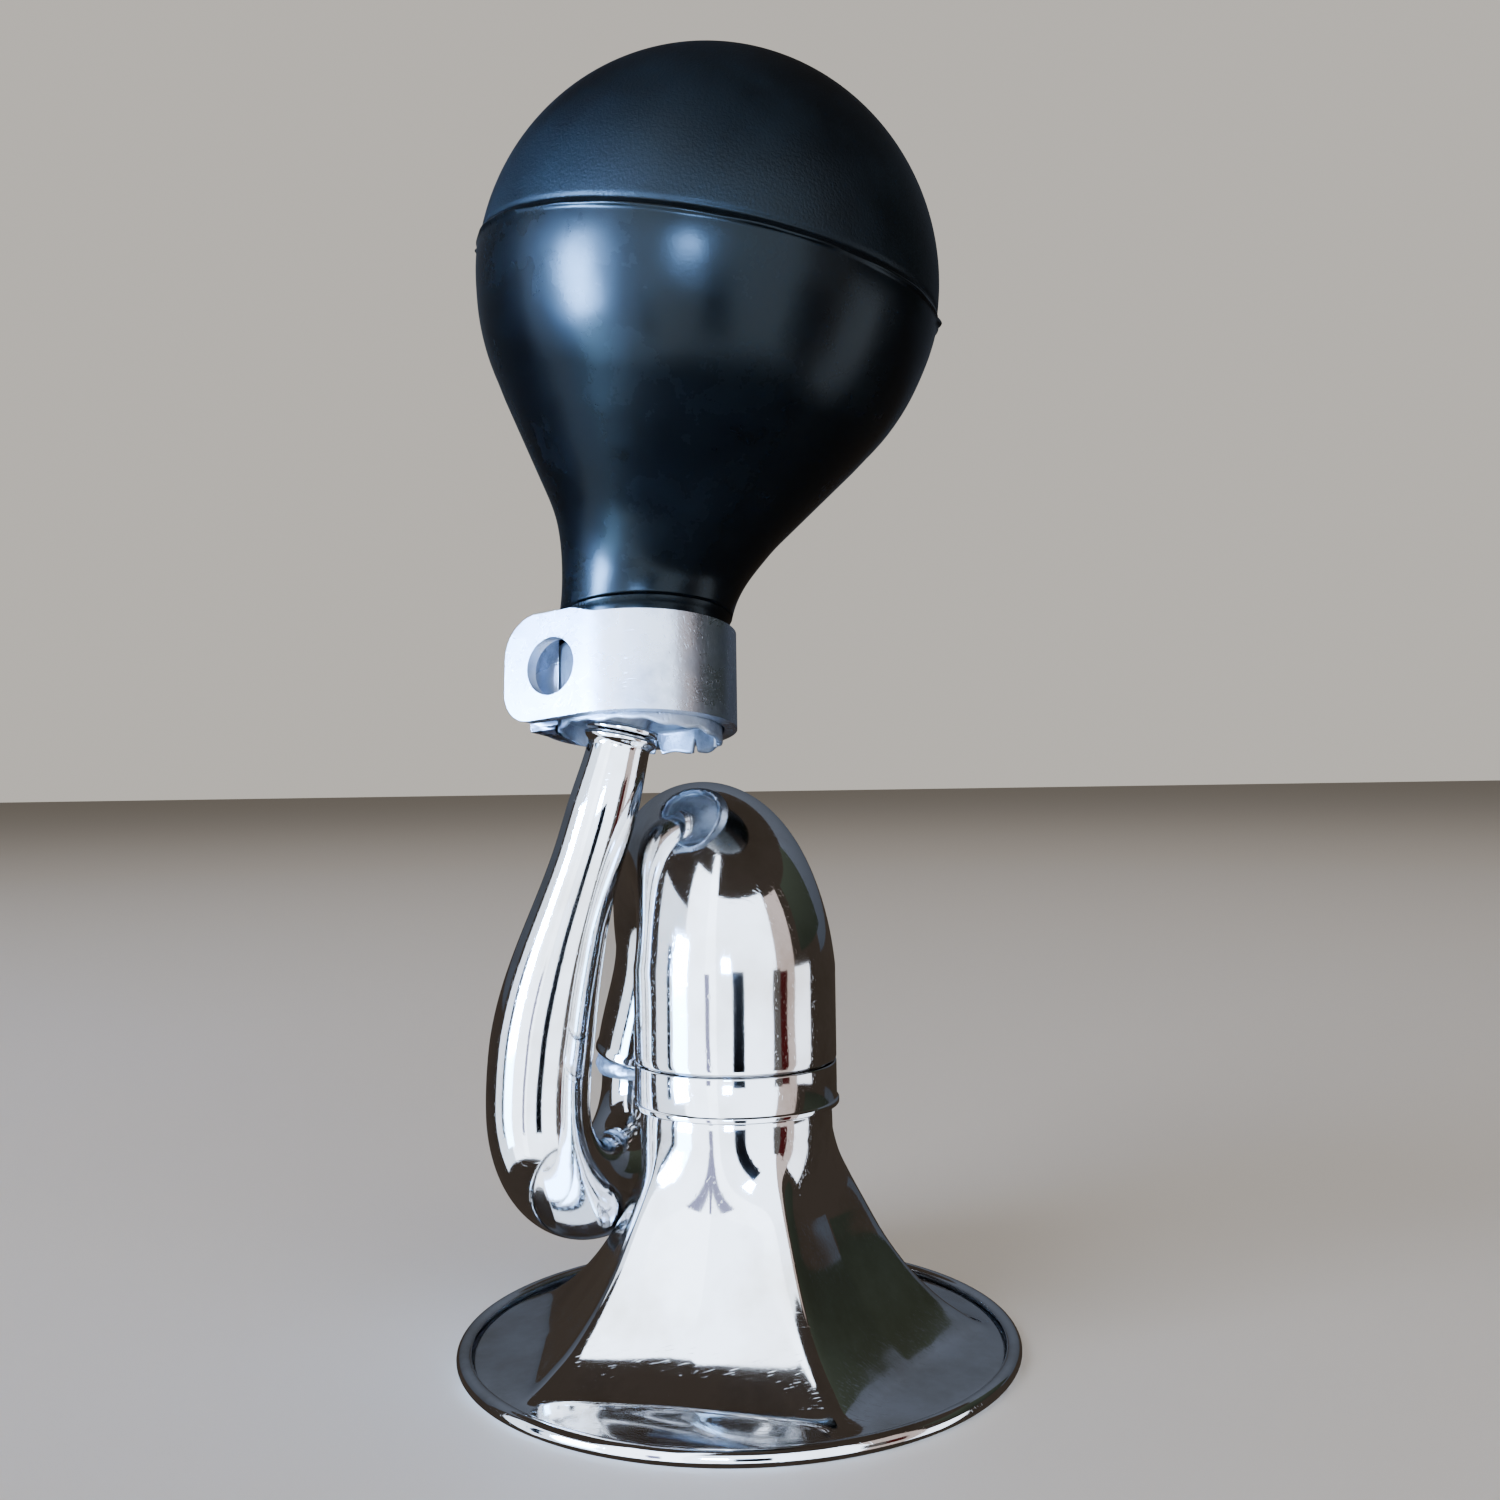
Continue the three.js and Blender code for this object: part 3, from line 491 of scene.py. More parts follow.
@dataclass
class AirWay:
    """The line the folded tube follows, from the reed round to the bell."""

    pipe_top: Vector = Vector((-17.0, 3.2, 93.2))
    lean_right: float = 12.0
    lean_back: float = 6.0
    turn_height: float = 35.2
    pipe_foot: tuple[float, float] = (-31.0, 5.6)
    riser_foot: tuple[float, float] = (-15.3, 33.0)
    bend_height: float = 57.8
    riser_head: tuple[float, float] = (-11.2, 28.8)

    @property
    def axis(self) -> Vector:
        """The direction in which the lead pipe meets the bulb's neck."""
        right, back = math.radians(self.lean_right), math.radians(self.lean_back)
        return Vector((math.tan(right), math.tan(back), 1)).normalized()

    def soft_run(self, start: Vector, leave: Vector, end: Vector, arrive: Vector, pull: float, steps: int) -> list[Station]:
        """A run that leaves and arrives along given directions.

        Args:
            start: its first point.
            leave: its direction there.
            end: its last point.
            arrive: its direction there.
            pull: the handles' share of its span.
            steps: how many stations follow the first.

        Returns:
            Evenly spaced stations without radii.
        """
        reach = (end - start).length * pull
        a, b, c, d = start, start + leave * reach, end - arrive * reach, end
        fine = 400
        shares = [i / fine for i in range(fine + 1)]
        points = [a * (1 - t) ** 3 + b * 3 * t * (1 - t) ** 2 + c * 3 * t * t * (1 - t) + d * t**3 for t in shares]
        slopes = [
            (b - a) * 3 * (1 - t) ** 2 + (c - b) * 6 * t * (1 - t) + (d - c) * 3 * t * t for t in shares
        ]
        lengths = [0.0]
        for before, here in zip(points, points[1:]):
            lengths.append(lengths[-1] + (here - before).length)
        stations, k = [], 0
        for i in range(steps + 1):
            target = lengths[-1] * i / steps
            while k < fine - 1 and lengths[k + 1] < target:
                k += 1
            share = min(max((target - lengths[k]) / (lengths[k + 1] - lengths[k]), 0), 1)
            stations.append(
                Station(points[k].lerp(points[k + 1], share), slopes[k].lerp(slopes[k + 1], share).normalized())
            )
        return stations

    def half_turn(self, start: Vector, end: Vector, sense: int, steps: int) -> list[Station]:
        """Half a turn in an upright plane.

        Args:
            start: its first point.
            end: its last point, at the same height.
            sense: 1 over the top, -1 under the bottom.
            steps: how many stations follow the first.

        Returns:
            Stations without radii.
        """
        centre = (start + end) / 2
        arm = start - centre
        stations = []
        for i in range(steps + 1):
            angle = math.pi * i / steps
            lift = Vector((0, 0, sense * arm.length))
            point = centre + arm * math.cos(angle) + lift * math.sin(angle)
            tangent = (lift * math.cos(angle) - arm * math.sin(angle)).normalized()
            stations.append(Station(point, tangent))
        return stations

    def lead(self, steps: int) -> list[Station]:
        """The lead pipe, from the reed down to the lower turn."""
        foot = Vector((*self.pipe_foot, self.turn_height))
        return self.soft_run(self.pipe_top, -self.axis, foot, Vector((0, 0, -1)), 0.34, steps)

    def lower_turn(self, steps: int) -> list[Station]:
        """The lower turn, under from the lead pipe to the riser."""
        start, end = Vector((*self.pipe_foot, self.turn_height)), Vector((*self.riser_foot, self.turn_height))
        return self.half_turn(start, end, -1, steps)

    def riser(self, steps: int) -> list[Station]:
        """The riser, up behind the bell to the upper bend."""
        up = Vector((0, 0, 1))
        start, end = Vector((*self.riser_foot, self.turn_height)), Vector((*self.riser_head, self.bend_height))
        return self.soft_run(start, up, end, up, 0.33, steps)

    def upper_turn(self, steps: int) -> list[Station]:
        """The upper bend, over from the riser to the bell's axis."""
        start, end = Vector((*self.riser_head, self.bend_height)), Vector((0, 0, self.bend_height))
        return self.half_turn(start, end, 1, steps)


# ---------------------------------------------------------------- chrome pieces


@dataclass
class FlaredBell:
    """The five-sided bell with its sleeve, its flat brim and its rolled rim."""

    finish: bpy.types.Material
    sheet: float = 0.6
    rim_radius: float = 42.5
    bead_radius: float = 1.2
    bead_sheet: float = 0.45
    bead_foot: float = 0.5
    neck_radius: float = 14.4
    throat_radius: float = 14.6
    sleeve_top: float = 49.0
    collar_bottom: float = 37.0
    sides: int = 5
    ridge_turn: float = 21.5
    round_above: float = 34.5
    sided_below: float = 21.5
    ridge_softness: float = 1.0  # radius left on a pressed ridge
    segments: int = 320

    def ridge_line(self) -> Profile:
        """The back of a ridge from the throat down to the brim."""
        marks = [
            (self.neck_radius, self.collar_bottom - 0.3),
            (self.throat_radius, 35.5),
            (self.throat_radius + 0.05, 33.9),
            (self.throat_radius + 0.2, 32.3),
            (15.7, 29.0),
            (17.3, 25.6),
            (19.3, 21.8),
            (21.9, 17.0),
            (24.1, 13.6),
            (26.4, 10.6),
            (28.9, 7.9),
            (31.3, 5.7),
            (33.6, 4.0),
            (36.0, 2.45),
            (38.2, 1.5),
            (39.6, 1.22),
        ]
        return through(marks, 5)

    def factor(self, turn: float, strength: float, radius: float) -> float:
        """How far the surface at an angle lies inside the ridge circle.

        Args:
            turn: angle from the front, in degrees, + to the right.
            strength: 1 where fully five-sided, 0 where round.
            radius: the ridge's radius there, for the rounding of the ridge.

        Returns:
            The share of the ridge's radius.
        """
        half = 180 / self.sides
        off = abs((turn - self.ridge_turn + half) % (2 * half) - half)
        soft = math.degrees(self.ridge_softness / radius)
        away = math.sqrt(off * off + soft * soft) - soft
        flat = math.cos(math.radians(half)) / math.cos(math.radians(half - away))
        return 1 + (flat - 1) * strength

    def build(self) -> bpy.types.Object:
        """Spins the wall, presses its five sides and dresses it."""
        back = [(self.neck_radius, self.sleeve_top), *self.ridge_line()]
        mouth = []
        for i, point in enumerate(back):
            before, after = back[max(i - 1, 0)], back[min(i + 1, len(back) - 1)]
            along = Vector((after[0] - before[0], after[1] - before[1])).normalized()
            mouth.append((point[0] + along.y * self.sheet, point[1] - along.x * self.sheet))
        foot = math.degrees(math.asin(self.bead_foot / self.bead_radius))
        centre = (self.rim_radius - self.bead_radius, self.bead_radius * math.cos(math.radians(foot)))
        inside = arc(centre, self.bead_radius - self.bead_sheet, -150, 150, 22)
        outside = arc(centre, self.bead_radius, 150, -90 + foot, 22) + arc(centre, self.bead_radius, -90 - foot, -150, 5)
        mesh = spun([*back, *inside, *outside, *reversed(mouth)], self.segments)
        turn = Matrix.Rotation(math.radians(self.ridge_turn - 90), 3, "Z")
        bmesh.ops.rotate(mesh, verts=mesh.verts, cent=(0, 0, 0), matrix=turn)
        for vert in mesh.verts:
            radius = math.hypot(vert.co.x, vert.co.y)
            strength = ease(vert.co.z, self.round_above, self.sided_below) * (1 - ease(radius, 36.5, 39.4))
            azimuth = math.degrees(math.atan2(vert.co.x, -vert.co.y))
            share = self.factor(azimuth, strength, radius)
            vert.co.x *= share
            vert.co.y *= share
        return place_piece(as_object(mesh, "flared_bell"), Body.HORN, Slot.CHROME, self.finish, "bell")


@dataclass
class CollarRing:
    """The ring that hides the joint of bell and bend, with a thin bead at its foot."""

    finish: bpy.types.Material
    bottom: float = 37.0
    top: float = 43.5
    radius: float = 15.4
    inner: float = 14.7
    bead: float = 0.35
    bead_height: float = 0.9
    edge: float = 0.25

    def build(self) -> bpy.types.Object:
        """Spins the ring with rounded edges."""
        middle = self.bottom + self.bead_height / 2
        proud = self.radius + self.bead
        profile = [
            (self.inner, self.bottom),
            *arc((proud - self.edge, self.bottom + self.edge), self.edge, -90, 0, 4),
            *arc((proud - self.edge, middle + self.bead_height / 2 - self.edge), self.edge, 0, 70, 4),
            (self.radius, self.bottom + self.bead_height + 0.15),
            *arc((self.radius - self.edge, self.top - self.edge), self.edge, 0, 90, 5),
            (self.inner, self.top),
        ]
        mesh = spun(profile, 160)
        return place_piece(as_object(mesh, "collar_ring"), Body.HORN, Slot.CHROME, self.finish, "bell_collar")


@dataclass
class UpperBend:
    """The wide bend from its lip on the riser over to the collar."""

    finish: bpy.types.Material
    air_way: AirWay
    start_radius: float = 9.3
    end_radius: float = 15.4
    joint_height: float = 38.6
    collar_top: float = 43.5
    seam: float = 0.3
    lip: float = 0.35  # how far the lip on the riser rolls out
    edge: float = 0.3

    def stations(self) -> list[Station]:
        """Cross-sections from the lip to the seam, with rounded ends."""
        riser = [s for s in self.air_way.riser(60) if s.point.z >= self.joint_height]
        turn = self.air_way.upper_turn(72)
        foot = self.collar_top + self.seam
        front = [
            Station(Vector((0, 0, self.air_way.bend_height + (foot - self.air_way.bend_height) * i / 12)), Vector((0, 0, -1)))
            for i in range(1, 13)
        ]
        for station in riser:
            rise = station.point.z - self.joint_height
            station.radius = self.start_radius + self.lip * (1 - ease(rise, 0.3, 1.5))
        for i, station in enumerate(turn):
            share = i / (len(turn) - 1)
            station.radius = self.start_radius + (self.end_radius - self.start_radius) * share
        for station in front:
            station.radius = self.end_radius
        ends = []
        for height in (0.0, 0.1, 0.3):
            drop = self.edge - math.sqrt(max(self.edge**2 - (self.edge - height) ** 2, 0))
            ends.append(Station(Vector((0, 0, foot + height)), Vector((0, 0, -1)), self.end_radius - drop))
        return [*riser, *turn[1:], *front[:-1], *reversed(ends)]

    def build(self) -> bpy.types.Object:
        """Bends the wall and dresses it."""
        mesh = shell(self.stations(), 160)
        return place_piece(as_object(mesh, "upper_bend_shell"), Body.HORN, Slot.CHROME, self.finish, "upper_bend")


@dataclass
class LeadTube:
    """Lead pipe, lower turn and riser in one tapering tube."""

    finish: bpy.types.Material
    air_way: AirWay
    top_radius: float = 4.8
    waist_radius: float = 5.45
    turn_radius: float = 8.1
    riser_radius: float = 8.3
    lip_proud: float = 0.9
    lip_length: float = 1.4
    riser_end: float = 45.0
    length: float = 60.0  # of the lead pipe, along its axis

    def lead_radius(self, share: float) -> float:
        """Outside radius along the lead pipe, from 0 at the reed to 1 at the lower turn."""
        slim = self.top_radius + (self.waist_radius - self.top_radius) * ease(share, 0, 0.22)
        return slim + (self.turn_radius - slim) * ease(share, 0.3, 0.86)

    def stations(self) -> list[Station]:
        """Cross-sections from the lip at the reed to the riser's end."""
        lead = self.air_way.lead(150)
        run = sum((b.point - a.point).length for a, b in zip(lead, lead[1:]))
        for i, station in enumerate(lead):
            share = i / (len(lead) - 1)
            down = share * run
            bulge = self.lip_proud * (1 - ease(down, self.lip_length - 0.7, self.lip_length + 0.4))
            if down < 0.5:
                bulge -= 0.45 * (1 - math.sqrt(max(1 - (1 - down / 0.5) ** 2, 0)))
            station.radius = self.lead_radius(share) + bulge
            station.wall = 0.6 + max(bulge, 0)
        turn = self.air_way.lower_turn(64)
        for i, station in enumerate(turn):
            station.radius = self.turn_radius + (self.riser_radius - self.turn_radius) * i / (len(turn) - 1)
        riser = [s for s in self.air_way.riser(60) if s.point.z <= self.riser_end]
        for station in riser:
            station.radius = self.riser_radius
        return [*lead, *turn[1:], *riser[1:]]

    def build(self) -> bpy.types.Object:
        """Bends the wall and dresses it."""
        mesh = shell(self.stations(), 120)
        return place_piece(as_object(mesh, "lead_tube_shell"), Body.HORN, Slot.CHROME, self.finish, "lead_tube")


@dataclass
class SolderBead:
    """The uneven ring of solder that closes the riser's joint."""

    finish: bpy.types.Material
    air_way: AirWay
    bottom: float = 35.3
    top: float = 38.3
    inner: float = 8.35
    proud: float = 1.05

    def build(self) -> bpy.types.Object:
        """Lays a swollen ring on the riser and makes it lumpy."""
        run = [s for s in self.air_way.riser(120) if self.bottom <= s.point.z <= self.top]
        for station in run:
            share = (station.point.z - self.bottom) / (self.top - self.bottom)
            station.radius = self.inner + 0.1 + self.proud * math.sin(math.pi * share) ** 0.7
            station.wall = station.radius - self.inner
        mesh = shell(run, 120)
        middle = run[len(run) // 2].point
        for vert in mesh.verts:
            out = Vector((vert.co.x - middle.x, vert.co.y - middle.y, 0))
            if out.length < self.inner + 0.15:
                continue
            angle = math.atan2(out.y, out.x)
            lump = 0.5 * math.sin(5 * angle + vert.co.z) + 0.35 * math.sin(11 * angle - 2.1 * vert.co.z)
            vert.co -= out.normalized() * max(0.25 * (0.6 - lump), 0) * min(out.length - self.inner, 1)
        return place_piece(as_object(mesh, "solder_bead"), Body.HORN, Slot.SOLDER, self.finish, "joint_solder")


@dataclass
class ReedSocket:
    """The turned socket between the lead pipe and the neck."""

    finish: bpy.types.Material
    air_way: AirWay
    flange: float = 5.7
    spigot: float = 3.9
    tube: float = 4.4
    bore: float = 2.9
    seat: float = 0.3
    thickness: float = 1.0
    depth: float = 8.0
    reach: float = 13.0

    def build(self) -> bpy.types.Object:
        """Spins the socket and stands it on the lead pipe."""
        top = self.seat + self.thickness
        profile = [
            (self.bore, -self.depth),
            (self.spigot, -self.depth),
            (self.spigot, self.seat),
            *arc((self.flange - 0.3, self.seat + 0.3), 0.3, -90, 0, 4),
            *arc((self.flange - 0.3, top - 0.3), 0.3, 0, 90, 4),
            (self.tube + 0.3, top),
            (self.tube, top + 0.3),
            (self.tube, self.reach),
            (self.bore, self.reach),
        ]
        mesh = spun(profile, 96)
        lean = Vector((0, 0, 1)).rotation_difference(self.air_way.axis).to_matrix().to_4x4()
        bmesh.ops.transform(mesh, matrix=Matrix.Translation(self.air_way.pipe_top) @ lean, verts=mesh.verts)
        return place_piece(as_object(mesh, "reed_socket_turned"), Body.HORN, Slot.CHROME, self.finish, "reed_socket")


# ---------------------------------------------------------------- neck


@dataclass
class NeckFrame:
    """Where the clamp sits and how it leans, shared by clamp, cup and bulb."""

    foot: Vector = Vector((-14.2, 4.5, 93.9))
    lean_back: float = 11.3
    strap_height: float = 15.3
    strap_inner: float = 13.2
    strap_wall: float = 2.0
    ear_rise: float = 1.2
    cup_top: float = 12.6
    cup_floor: float = 2.4
    seat: float = 0.3

    @property
    def matrix(self) -> Matrix:
        """From the clamp's own frame to the horn's."""
        return Matrix.Translation(self.foot) @ Matrix.Rotation(-math.radians(self.lean_back), 4, "X")


@dataclass
class NeckCup:
    """The thin can under the rubber neck, with a slit and dented skirt."""

    finish: bpy.types.Material
    neck: NeckFrame
    radius: float = 12.8
    wall: float = 0.7
    skirt: float = 2.0
    dip: float = 4.5
    slits: tuple[float, ...] = (20.0, 48.0, 80.0)

    def build(self) -> bpy.types.Object:
        """Spins the can and works its skirt."""
        inner = self.radius - self.wall
        floor, top = self.neck.cup_floor, self.neck.cup_top
        profile = [
            (0.0, floor),
            (inner - 0.8, floor),
            *arc((inner - 0.8, floor - 0.8), 0.8, 90, 0, 5),
            *[(inner, floor - 0.8 - (floor - 0.8 + self.skirt) * i / 8) for i in range(1, 9)],
            (self.radius - self.wall / 2, -self.skirt - 0.15),
            *[(self.radius, -self.skirt + (self.skirt + floor) * i / 8) for i in range(9)],
            (self.radius, top),
            (inner, top),
            (inner, floor + self.wall),
            (0.0, floor + self.wall),
        ]
        mesh = spun(profile, 240, closed=False)
        slope = math.tan(math.radians(self.dip))
        for vert in mesh.verts:
            x, y, z = vert.co
            if z >= floor - 0.1 or math.hypot(x, y) < inner - 0.1:
                continue
            angle = math.degrees(math.atan2(y, x))
            low = -self.skirt + slope * (self.radius - x)
            ragged = 0.25 * math.sin(math.radians(7 * angle)) + 0.18 * math.sin(math.radians(17 * angle + 40))
            slit = max((1 - abs((angle - mark + 180) % 360 - 180) / 2.6 for mark in self.slits), default=0)
            low += ragged * 0.8 + 2.2 * ease(slit, 0.0, 0.5)
            share = (floor - z) / (floor + self.skirt)
            vert.co.z = floor - share * max(floor - low, 0.4)
            bow = 0.25 * math.sin(math.radians(3 * angle + 20)) * share * share
            vert.co.x *= 1 + bow / self.radius
            vert.co.y *= 1 + bow / self.radius
        bmesh.ops.transform(mesh, matrix=self.neck.matrix, verts=mesh.verts)
        return place_piece(as_object(mesh, "neck_cup_can"), Body.HORN, Slot.DULL_PLATE, self.finish, "neck_cup")


@dataclass
class StrapClamp:
    """The bent strap round the neck, with a long holed ear in front and a short one behind it."""

    finish: bpy.types.Material
    neck: NeckFrame
    ear_turn: float = 32.0
    ear_length: float = 14.5
    ear_gap: float = 2.3
    upper_corner: float = 6.2
    lower_corner: float = 4.8
    hole_radius: float = 4.5
    hole_height: float = 8.0
    hole_reach: float = 5.6
    rise_reach: float = -3.0
    edge: float = 0.62

    def ear_point(self, along: float, away: float) -> tuple[float, float]:
        """A plan point from its distance along the ear and from the neck's axis."""
        turn = math.radians(self.ear_turn)
        return (
            -math.cos(turn) * along - math.sin(turn) * away,
            math.sin(turn) * along - math.cos(turn) * away,
        )

    def outline(self) -> Profile:
        """The strap's plan: a ring with two ears."""
        inner, outer = self.neck.strap_inner, self.neck.strap_inner + self.neck.strap_wall
        face = inner - self.ear_gap
        back = face - self.neck.strap_wall
        start = -90 - self.ear_turn
        inner_meet = math.degrees(math.acos(face / inner))
        outer_meet = math.degrees(math.acos(back / outer))
        return [
            self.ear_point(self.ear_length, outer),
            *arc((0, 0), outer, start, start + 360 - outer_meet, 110),
            self.ear_point(self.ear_length, back),
            self.ear_point(self.ear_length, face),
            *arc((0, 0), inner, start + 360 - inner_meet, start, 100),
            self.ear_point(self.ear_length, inner),
        ]

    def side_view(self) -> Profile:
        """The strap's side view along the ear: rounded at its tip, raised over the ear."""
        top = self.neck.strap_height + self.neck.ear_rise
        strap_top = self.neck.strap_height
        tip, low, high = self.ear_length, self.lower_corner, self.upper_corner
        back = -2 * self.ear_length
        step = [
            (
                self.rise_reach + 5.5 * (1 - t),
                strap_top + (top - strap_top) * (1 - ease(t, 0, 1)),
            )
            for t in (0.15, 0.3, 0.45, 0.6, 0.75, 0.9, 1.0)
        ]
        return [
            (back, 0.0),
            *arc((tip - low, low), low, -90, 0, 12),
            *arc((tip - high, top - high), high, 0, 90, 16),
            *step,
            (back, strap_top),
        ]

    def prism(self, outline: Profile, low: float, high: float) -> bmesh.types.BMesh:
        """Raises an outline in the XY plane to a closed prism.

        Args:
            outline: its corners in order.
            low: its lower height.
            high: its upper height.

        Returns:
            The prism.
        """
        mesh = bmesh.new()
        face = mesh.faces.new([mesh.verts.new((x, y, low)) for x, y in outline])
        raised = bmesh.ops.extrude_face_region(mesh, geom=[face])["geom"]
        verts = [item for item in raised if isinstance(item, bmesh.types.BMVert)]
        bmesh.ops.translate(mesh, vec=(0, 0, high - low), verts=verts)
        bmesh.ops.recalc_face_normals(mesh, faces=mesh.faces)
        return mesh

    def across_ear(self, outline: Profile, near: float, far: float) -> bmesh.types.BMesh:
        """Stands an outline drawn in (along the ear, height) up in the ear's plane."""
        mesh = self.prism(outline, near, far)
        along = Vector((*self.ear_point(1, 0), 0))
        away = Vector((*self.ear_point(0, 1), 0))
        stand = Matrix((along, Vector((0, 0, 1)), away)).transposed().to_4x4()
        bmesh.ops.transform(mesh, matrix=stand, verts=mesh.verts)
        bmesh.ops.recalc_face_normals(mesh, faces=mesh.faces)
        return mesh

    def cut(self, target: bpy.types.Object, cutter: bpy.types.Object, operation: str) -> None:
        """Applies one solid to another.

        Args:
            target: the solid that is changed.
            cutter: the other solid, removed here.
            operation: INTERSECT, UNION or DIFFERENCE.
        """
        modifier = target.modifiers.new("cut", "BOOLEAN")
        modifier.operation, modifier.object, modifier.solver = operation, cutter, "EXACT"
        evaluated = target.evaluated_get(bpy.context.evaluated_depsgraph_get())
        made = bpy.data.meshes.new_from_object(evaluated)
        target.modifiers.clear()
        target.data = made
        bpy.data.objects.remove(cutter)

    def build(self) -> bpy.types.Object:
        """Cuts the strap from its prism, rounds its edges and dresses it."""
        neck = self.neck
        strap = as_object(self.prism(self.outline(), 0, neck.strap_height + neck.ear_rise), "strap_clamp")
        reach = 3 * neck.strap_inner
        ears_from = neck.strap_inner - self.ear_gap - neck.strap_wall
        ears = self.across_ear(self.side_view(), ears_from - neck.strap_wall, reach)
        keep = as_object(ears, "ear_cutter")
        high = neck.strap_height
        ring = self.across_ear([(-reach, 0), (reach, 0), (reach, high), (-reach, high)], -reach, ears_from)
        self.cut(keep, as_object(ring, "ring_cutter"), "UNION")
        self.cut(strap, keep, "INTERSECT")
        circle = arc((self.hole_reach, self.hole_height), self.hole_radius, 0, 360, 48)[:-1]
        near = neck.strap_inner - self.ear_gap / 2
        self.cut(strap, as_object(self.across_ear(circle, near, near + 3 * neck.strap_wall), "drill"), "DIFFERENCE")
        shaped = bmesh.new()
        shaped.from_mesh(strap.data)
        bmesh.ops.remove_doubles(shaped, verts=shaped.verts, dist=2e-6)
        bmesh.ops.dissolve_limit(
            shaped, angle_limit=math.radians(1), verts=shaped.verts, edges=shaped.edges
        )
        sharp = [e for e in shaped.edges if e.is_manifold and e.calc_face_angle() > math.radians(35)]
        bmesh.ops.bevel(
            shaped,
            geom=sharp,
            offset=self.edge * MM,
            offset_type="OFFSET",
            affect="EDGES",
            segments=4,
            profile=0.5,
            material=-1,
            clamp_overlap=True,
        )
        place = Matrix.Scale(MM, 4) @ neck.matrix @ Matrix.Scale(1 / MM, 4)
        bmesh.ops.transform(shaped, matrix=place, verts=shaped.verts)
        for face in shaped.faces:
            face.smooth = True
        shaped.to_mesh(strap.data)
        shaped.free()
        weighted = strap.modifiers.new("even_normals", "WEIGHTED_NORMAL")
        weighted.weight = 80
        return place_piece(strap, Body.CLAMP, Slot.SATIN_PLATE, self.finish, "neck_clamp")


# ---------------------------------------------------------------- rubber bulb


